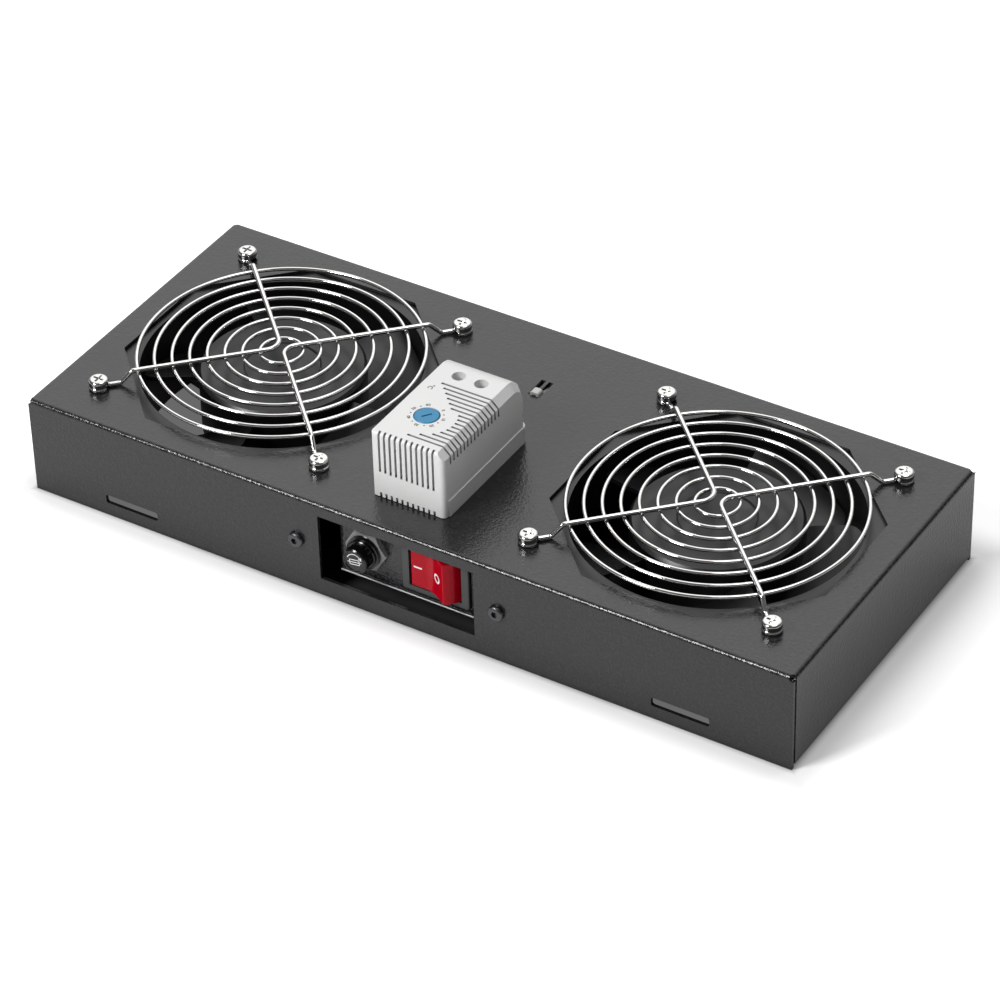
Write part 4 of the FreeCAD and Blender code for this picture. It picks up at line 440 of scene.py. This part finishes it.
# %% [markdown]
# ## The scale round the dial
# Seven numbers stand round the dial, over 300 degrees of turn, with a dot between each two. All the
# marks are alike but for their angle, so a loop places them, one every 25 degrees. The sign for the
# unit stands further back, turned to be read from the left.

# %% Printed scale
SCALE_MARKS = 13
SCALE_START = 58
SCALE_STEP = 25
DEGREES_PER_MARK = 5
NUMBER_RADIUS = 6.9 * MM
NUMBER_HEIGHT = 1.35 * MM
DOT_RADIUS = 6.5 * MM
DOT_SIZE = 0.33 * MM
DOT_SIDES = 12
UNIT_HEIGHT = 1.5 * NUMBER_HEIGHT
UNIT_ASIDE = Vector((-8.7, 16.7, 0)) * MM

cover_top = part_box("thermostat_cover")[1][2]
scale_middle = Matrix.Translation((dial_middle.x, dial_middle.y, cover_top))
scale = bmesh.new()
for mark in range(SCALE_MARKS):
    angle = math.radians(SCALE_START - SCALE_STEP * mark)
    turn = scale_middle @ Matrix.Rotation(angle - math.pi / 2, 4, "Z")
    if mark % 2:
        bmesh.ops.create_cone(scale, cap_ends=True, segments=DOT_SIDES, radius1=DOT_SIZE,
                              radius2=DOT_SIZE, depth=INK,
                              matrix=turn @ Matrix.Translation((0, DOT_RADIUS, 0)))
    else:
        add_letters(scale, str(mark * DEGREES_PER_MARK), NUMBER_HEIGHT,
                    turn @ Matrix.Translation((0, NUMBER_RADIUS, 0)))
add_letters(scale, "°C", UNIT_HEIGHT,
            scale_middle @ Matrix.Translation(UNIT_ASIDE) @ Matrix.Rotation(math.radians(-90), 4, "Z"))
finish_piece(scale, "dial_scale", GREY_INK, "tray")

# %% [markdown]
# ## Signs on the rocker
# A line means on and a ring means off, as on every such switch. The line is a bar and the ring is a
# small rectangle spun once round. Both lie in the rocker's sloping faces. Each place is found by a
# ray from the front, so the signs lie flat on the faces whatever their slope.

# %% Line and ring
SIGN_LINE = 0.75 * MM
ON_LENGTH = 3.7 * MM
OFF_RADIUS = 2.1 * MM
OFF_STEPS = 32
ON_ACROSS = -7.7 * MM
OFF_ACROSS = 2.3 * MM

rocker_low, rocker_high = (Vector(corner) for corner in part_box("switch_rocker"))
hinge = next(joint for joint in frame["joints"] if joint["name"] == "rocker_tilt")
hinge_x, _, hinge_z = hinge["pos_m"]


def rocker_face(across):
    """The frame on the rocker's face, at a distance right of its pins."""
    return lie_on("switch_rocker", (hinge_x + across, rocker_low.y - MM, hinge_z), (0, 1, 0))


signs = bmesh.new()
ring_corners = [
    (OFF_RADIUS, 0, -INK / 2),
    (OFF_RADIUS, 0, INK / 2),
    (OFF_RADIUS - SIGN_LINE, 0, INK / 2),
    (OFF_RADIUS - SIGN_LINE, 0, -INK / 2),
]
section = [signs.verts.new(corner) for corner in ring_corners]
loop = [signs.edges.new((section[i - 1], section[i])) for i in range(len(section))]
bmesh.ops.spin(signs, geom=section + loop, cent=(0, 0, 0), axis=(0, 0, 1), angle=2 * math.pi,
               steps=OFF_STEPS, use_merge=True)
bmesh.ops.transform(signs, matrix=rocker_face(OFF_ACROSS), verts=signs.verts)
add_bar(signs, ON_LENGTH, SIGN_LINE, rocker_face(ON_ACROSS))
finish_piece(signs, "switch_signs", WHITE_INK, "rocker")

# %% [markdown]
# ## Sign on the fuse cap
# The cap gets the sign for a fuse, a box with a line through it, and an arrow for the way it turns.
# The arrow's shaft starts as a straight bar. It is cut into short lengths and each corner is moved
# round a circle, which bends the bar and keeps its width. The box is four bars.

# %% Arrow and fuse sign
CAP_ARROW_RADIUS = 3.3 * MM
CAP_LINE = 0.32 * MM
ARROW_HALF_TURN = 1.1
ARROW_CUTS = 15
ARROW_HEAD = 0.95 * MM
FUSE_SIGN = (4.4 * MM, 2.2 * MM)
FUSE_WIRE = 6.4 * MM
FUSE_SIGN_DROP = 0.35 * MM
CAP_TILT = math.radians(8)

cap_low, cap_high = (Vector(corner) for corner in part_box("fuse_cap"))
cap_middle = (cap_low + cap_high) / 2
cap_face = lie_on("fuse_cap", (cap_middle.x, cap_low.y - MM, cap_middle.z), (0, 1, 0))
cap_face = cap_face @ Matrix.Rotation(CAP_TILT, 4, "Z")
cap_sign = bmesh.new()
add_bar(cap_sign, 2 * ARROW_HALF_TURN * CAP_ARROW_RADIUS, CAP_LINE, Matrix.Identity(4))
long_edges = [e for e in cap_sign.edges if abs((e.verts[0].co - e.verts[1].co).x) > CAP_LINE]
bmesh.ops.subdivide_edges(cap_sign, edges=long_edges, cuts=ARROW_CUTS, use_grid_fill=True)
for vert in cap_sign.verts:
    angle, out = vert.co.x / CAP_ARROW_RADIUS, CAP_ARROW_RADIUS + vert.co.y
    vert.co = Vector((out * math.sin(angle), out * math.cos(angle), vert.co.z))
arrow_end = Matrix.Rotation(-ARROW_HALF_TURN, 4, "Z") @ Matrix.Translation((0, CAP_ARROW_RADIUS, 0))
bmesh.ops.create_cone(cap_sign, cap_ends=True, segments=3, radius1=ARROW_HEAD, radius2=ARROW_HEAD,
                      depth=INK, matrix=arrow_end @ Matrix.Rotation(math.radians(-90), 4, "Z"))
bmesh.ops.transform(cap_sign, matrix=cap_face, verts=cap_sign.verts)
half_long, half_high = FUSE_SIGN[0] / 2, FUSE_SIGN[1] / 2
sign_middle = cap_face @ Matrix.Translation((0, -FUSE_SIGN_DROP, 0))
add_bar(cap_sign, FUSE_WIRE, CAP_LINE, sign_middle)
for way in (-1, 1):
    add_bar(cap_sign, FUSE_SIGN[0], CAP_LINE, sign_middle @ Matrix.Translation((0, way * half_high, 0)))
    add_bar(cap_sign, CAP_LINE, FUSE_SIGN[1], sign_middle @ Matrix.Translation((way * half_long, 0, 0)))
finish_piece(cap_sign, "cap_sign", WHITE_INK, "cap")

# %% [markdown]
# ## The panel's bright edge
# The foot of the recessed panel shows a thin bright line, which is a painted highlight. A rounded
# edge in the material would catch no light at this size, so it is a slim bright metal rod with
# round ends, laid into the bend.

# %% Bright edge along the panel's foot
BEAD_RADIUS = 0.45 * MM
BEAD_HALF = 30.4 * MM
BEAD_SIDES = 16
PANEL_BEHIND = 7.5 * MM

foot_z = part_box("switch_bracket")[0][2] + BEAD_RADIUS
panel_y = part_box("tray_chassis")[0][1] + PANEL_BEHIND
bead = bmesh.new()
bmesh.ops.create_cone(bead, cap_ends=True, segments=BEAD_SIDES, radius1=BEAD_RADIUS,
                      radius2=BEAD_RADIUS, depth=2 * BEAD_HALF,
                      matrix=Matrix.Translation((0, panel_y, foot_z))
                      @ Matrix.Rotation(math.pi / 2, 4, "Y"))
ends = [edge for edge in bead.edges
        if abs(edge.verts[0].co.x - edge.verts[1].co.x) < BEAD_RADIUS]
bmesh.ops.bevel(bead, geom=ends, offset=BEAD_RADIUS / 2, affect="EDGES", segments=3, profile=0.5,
                material=-1)
finish_piece(bead, "panel_edge_highlight", HIGHLIGHT_ROD_METAL, "tray")

# %% [markdown]
# ## The floor
# A sheet of white paper catches the tray's soft shadow. It glows a little where the camera looks,
# so that it stays white away from the tray. The glow fades towards the tray's foot, which is a
# painted shadow. Under the tray the paper's colour is dark grey, which is painted shade, and under
# the tray's two ends a faint glow is painted light. From below it is clear, so the underside can be seen.

# %% Floor
FLOOR_HALF = 6.0
FLOOR_GLOW = 0.5
# A faint glow under the tray's two ends: painted light.
PAINTED_UNDER_LIGHT = 0.14
# The glow fades over this reach from the tray's foot, down to this share: a painted shadow.
PAINTED_SHADOW_REACH = 22 * MM
GLOW_IN_PAINTED_SHADOW = 0.19
GLOSSY_SHARE = 0.32
EDGE_BLUR = 3 * MM
PAINTED_LIGHT_SPAN = (0.5, 0.6)
PAPER = linear("#f2f2f2")
# The dark grey of the painted shade under the tray.
PAINTED_SHADE = linear("#1c1c1c")
SMOOTH = {"interpolation_type": "SMOOTHSTEP"}


def paper_material():
    """White paper with painted shade under the tray, a painted shadow at its foot and faint painted light under
    its ends; clear from below.
    """
    material, tree, shader = new_material("white paper", Base_Color=PAPER, Roughness=0.9)
    rays = add(tree, "LightPath")
    half_width, half_depth = cad_box[1][0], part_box("tray_chassis")[1][1]
    place = add(tree, "SeparateXYZ", None, {"Vector": add(tree, "TexCoord").outputs["Object"]})
    across = add(tree, "Math", {"operation": "ABSOLUTE"}, {0: place.outputs["X"]})
    along = add(tree, "Math", {"operation": "ABSOLUTE"}, {0: place.outputs["Y"]})

    # The painted shade under the tray: the paper's colour turns dark grey there.
    past_side = add(tree, "MapRange", SMOOTH,
                    {"Value": across.outputs[0], "From Min": half_width - EDGE_BLUR,
                     "From Max": half_width + EDGE_BLUR})
    past_front = add(tree, "MapRange", SMOOTH,
                     {"Value": along.outputs[0], "From Min": half_depth - EDGE_BLUR,
                      "From Max": half_depth + EDGE_BLUR})
    out_of_painted_shade = add(tree, "Math", {"operation": "MAXIMUM"},
                  {0: past_side.outputs[0], 1: past_front.outputs[0]})
    paper = add(tree, "Mix", {"data_type": "RGBA"}, {0: out_of_painted_shade.outputs[0], 6: PAINTED_SHADE, 7: PAPER})
    tree.links.new(paper.outputs[2], shader.inputs["Base Color"])

    # The glow, which fades at the tray's foot as a painted shadow, and is faint under the tray's two ends as
    # painted light.
    painted_shadow_side = add(tree, "MapRange", SMOOTH,
                    {"Value": across.outputs[0], "From Min": half_width,
                     "From Max": half_width + PAINTED_SHADOW_REACH, "To Min": GLOW_IN_PAINTED_SHADOW})
    painted_shadow_front = add(tree, "MapRange", SMOOTH,
                     {"Value": along.outputs[0], "From Min": half_depth,
                      "From Max": half_depth + PAINTED_SHADOW_REACH, "To Min": GLOW_IN_PAINTED_SHADOW})
    painted_shadow = add(tree, "Math", {"operation": "MAXIMUM"},
               {0: painted_shadow_side.outputs[0], 1: painted_shadow_front.outputs[0]})
    # Painted light: a faint glow on the dark paper under the tray's two ends.
    painted_end_light = add(tree, "MapRange", SMOOTH,
                   {"Value": across.outputs[0], "From Min": PAINTED_LIGHT_SPAN[0] * half_width,
                    "From Max": PAINTED_LIGHT_SPAN[1] * half_width, "To Max": PAINTED_UNDER_LIGHT / FLOOR_GLOW})
    open_floor = add(tree, "Math", {"operation": "MULTIPLY"},
                     {0: out_of_painted_shade.outputs[0], 1: painted_shadow.outputs[0]})
    lit = add(tree, "Math", {"operation": "MAXIMUM"},
              {0: open_floor.outputs[0], 1: painted_end_light.outputs[0]})
    share = add(tree, "Math", {"operation": "MULTIPLY_ADD", "use_clamp": True},
                {0: rays.outputs["Is Glossy Ray"], 1: GLOSSY_SHARE, 2: rays.outputs["Is Camera Ray"]})
    seen = add(tree, "Math", {"operation": "MULTIPLY"}, {0: share.outputs[0], 1: lit.outputs[0]})
    glow = add(tree, "Math", {"operation": "MULTIPLY"}, {0: seen.outputs[0], 1: FLOOR_GLOW})
    shader.inputs["Emission Color"].default_value = (1, 1, 1, 1)
    tree.links.new(glow.outputs[0], shader.inputs["Emission Strength"])

    from_below = add(tree, "NewGeometry").outputs["Backfacing"]
    clear = add(tree, "BsdfTransparent")
    either = add(tree, "MixShader", None,
                 {0: from_below, 1: shader.outputs[0], 2: clear.outputs[0]})
    tree.links.new(either.outputs[0], tree.nodes["Material Output"].inputs["Surface"])
    return material


sheet = bmesh.new()
bmesh.ops.create_grid(sheet, x_segments=1, y_segments=1, size=FLOOR_HALF)
floor_mesh = bpy.data.meshes.new("floor")
sheet.to_mesh(floor_mesh)
sheet.free()
floor_mesh.materials.append(paper_material())
floor = bpy.data.objects.new("floor", floor_mesh)
bpy.context.scene.collection.objects.link(floor)
print("floor glows", FLOOR_GLOW, "where the camera sees it")

# %% [markdown]
# ## The world
# The world gives a low even light, stronger from the left. Shiny surfaces see more of it: a bright
# sky behind the tray that the top plate mirrors, which fades to a dim room on the right, so that
# wires and bends show a bright line between dark edges. Where the camera looks it is plain white.

# %% World
BRIGHT_SKY = Vector((-0.25, 0.66, 0.71)).normalized()
LIGHT_SIDE = Vector((-0.75, -0.2, 0.63)).normalized()
SKY = (0.12, 1.15)
SKY_SPAN = (0.55, 0.98)
SIDE_LIGHT = (0.04, 0.36)
SIDE_SPAN = (-0.6, 1.0)


def studio_world():
    """Low light from the left; a bright sky behind for reflections; white where the camera looks."""
    world = bpy.data.worlds.new("studio")
    bpy.context.scene.world = world
    world.use_nodes = True
    tree = world.node_tree
    back = tree.nodes["Background"]
    back.inputs["Color"].default_value = (1, 1, 1, 1)
    rays = add(tree, "LightPath")
    way = add(tree, "TexCoord").outputs["Generated"]
    toward_sky = add(tree, "VectorMath", {"operation": "DOT_PRODUCT"}, {0: way, 1: BRIGHT_SKY})
    toward_side = add(tree, "VectorMath", {"operation": "DOT_PRODUCT"}, {0: way, 1: LIGHT_SIDE})
    sky = add(tree, "MapRange", SMOOTH,
              {"Value": toward_sky.outputs["Value"], "From Min": SKY_SPAN[0], "From Max": SKY_SPAN[1],
               "To Min": SKY[0], "To Max": SKY[1]})
    side = add(tree, "MapRange", None,
               {"Value": toward_side.outputs["Value"], "From Min": SIDE_SPAN[0],
                "From Max": SIDE_SPAN[1], "To Min": SIDE_LIGHT[0], "To Max": SIDE_LIGHT[1]})
    shine = add(tree, "Mix", {"data_type": "FLOAT"},
                {0: rays.outputs["Is Glossy Ray"], 2: side.outputs[0], 3: sky.outputs[0]})
    direct = add(tree, "Math", {"operation": "MAXIMUM"},
                 {0: rays.outputs["Is Camera Ray"], 1: rays.outputs["Is Transmission Ray"]})
    strength = add(tree, "Math", {"operation": "MAXIMUM"},
                   {0: shine.outputs[0], 1: direct.outputs[0]})
    tree.links.new(strength.outputs[0], back.inputs["Strength"])


studio_world()
print("world is lit from", tuple(round(part, 2) for part in LIGHT_SIDE))

# %% [markdown]
# ## The lamps
# Three square soft boxes light the tray: a small key from the front left, which gives the shadow, a
# weak one from above, and a wide one from behind, which draws the rings and edges. A table holds
# each one's place, size in metres and power in watts.

# %% Lamps
LAMP_AIM = Vector((0, 0, 0.03))
LAMPS = {
    "key": ((-0.64, -1.18, 1.17), 0.5, 22.5),
    "top": ((0.42, 0.15, 1.65), 0.8, 7),
    "back": ((-0.8, 1.15, 1.2), 2.0, 7),
}

for name, (place, size, power) in LAMPS.items():
    lamp = bpy.data.lights.new(name, "AREA")
    lamp.shape = "SQUARE"
    lamp.size = size
    lamp.energy = power
    box = bpy.data.objects.new(name, lamp)
    box.location = place
    box.rotation_euler = (LAMP_AIM - Vector(place)).to_track_quat("-Z", "Y").to_euler()
    bpy.context.scene.collection.objects.link(box)
print("lamps:", ", ".join(LAMPS))

# %% [markdown]
# ## Camera
# The camera stands at the front right and looks down at the tray. Its long lens keeps the tray's
# sides nearly parallel. The Standard view shows the colours as they are written.

# %% Camera
CAMERA_PLACE = Vector((0.73598, -1.14628, 1.05278))
CAMERA_YAW = -0.56974
CAMERA_PITCH = 0.65279
CAMERA_ROLL = -0.02912
CAMERA_LENS = 156.0351
CAMERA_SENSOR = 36.0
CAMERA_REACH = 100.0

camera_data = bpy.data.cameras.new("camera")
camera_data.sensor_width = CAMERA_SENSOR
camera_data.lens = CAMERA_LENS
camera_data.clip_end = CAMERA_REACH
camera = bpy.data.objects.new("camera", camera_data)
turn = (Matrix.Rotation(-CAMERA_YAW, 4, "Z") @ Matrix.Rotation(math.pi / 2 - CAMERA_PITCH, 4, "X")
        @ Matrix.Rotation(CAMERA_ROLL, 4, "Z"))
camera.matrix_world = Matrix.Translation(CAMERA_PLACE) @ turn
bpy.context.scene.collection.objects.link(camera)
bpy.context.scene.camera = camera
bpy.context.scene.view_settings.view_transform = "Standard"
print("camera lens:", camera_data.lens)

# %% [markdown]
# ## Materials
# The last cell prints how many materials were made.

# %% Count the materials
print("materials:", len(bpy.data.materials))
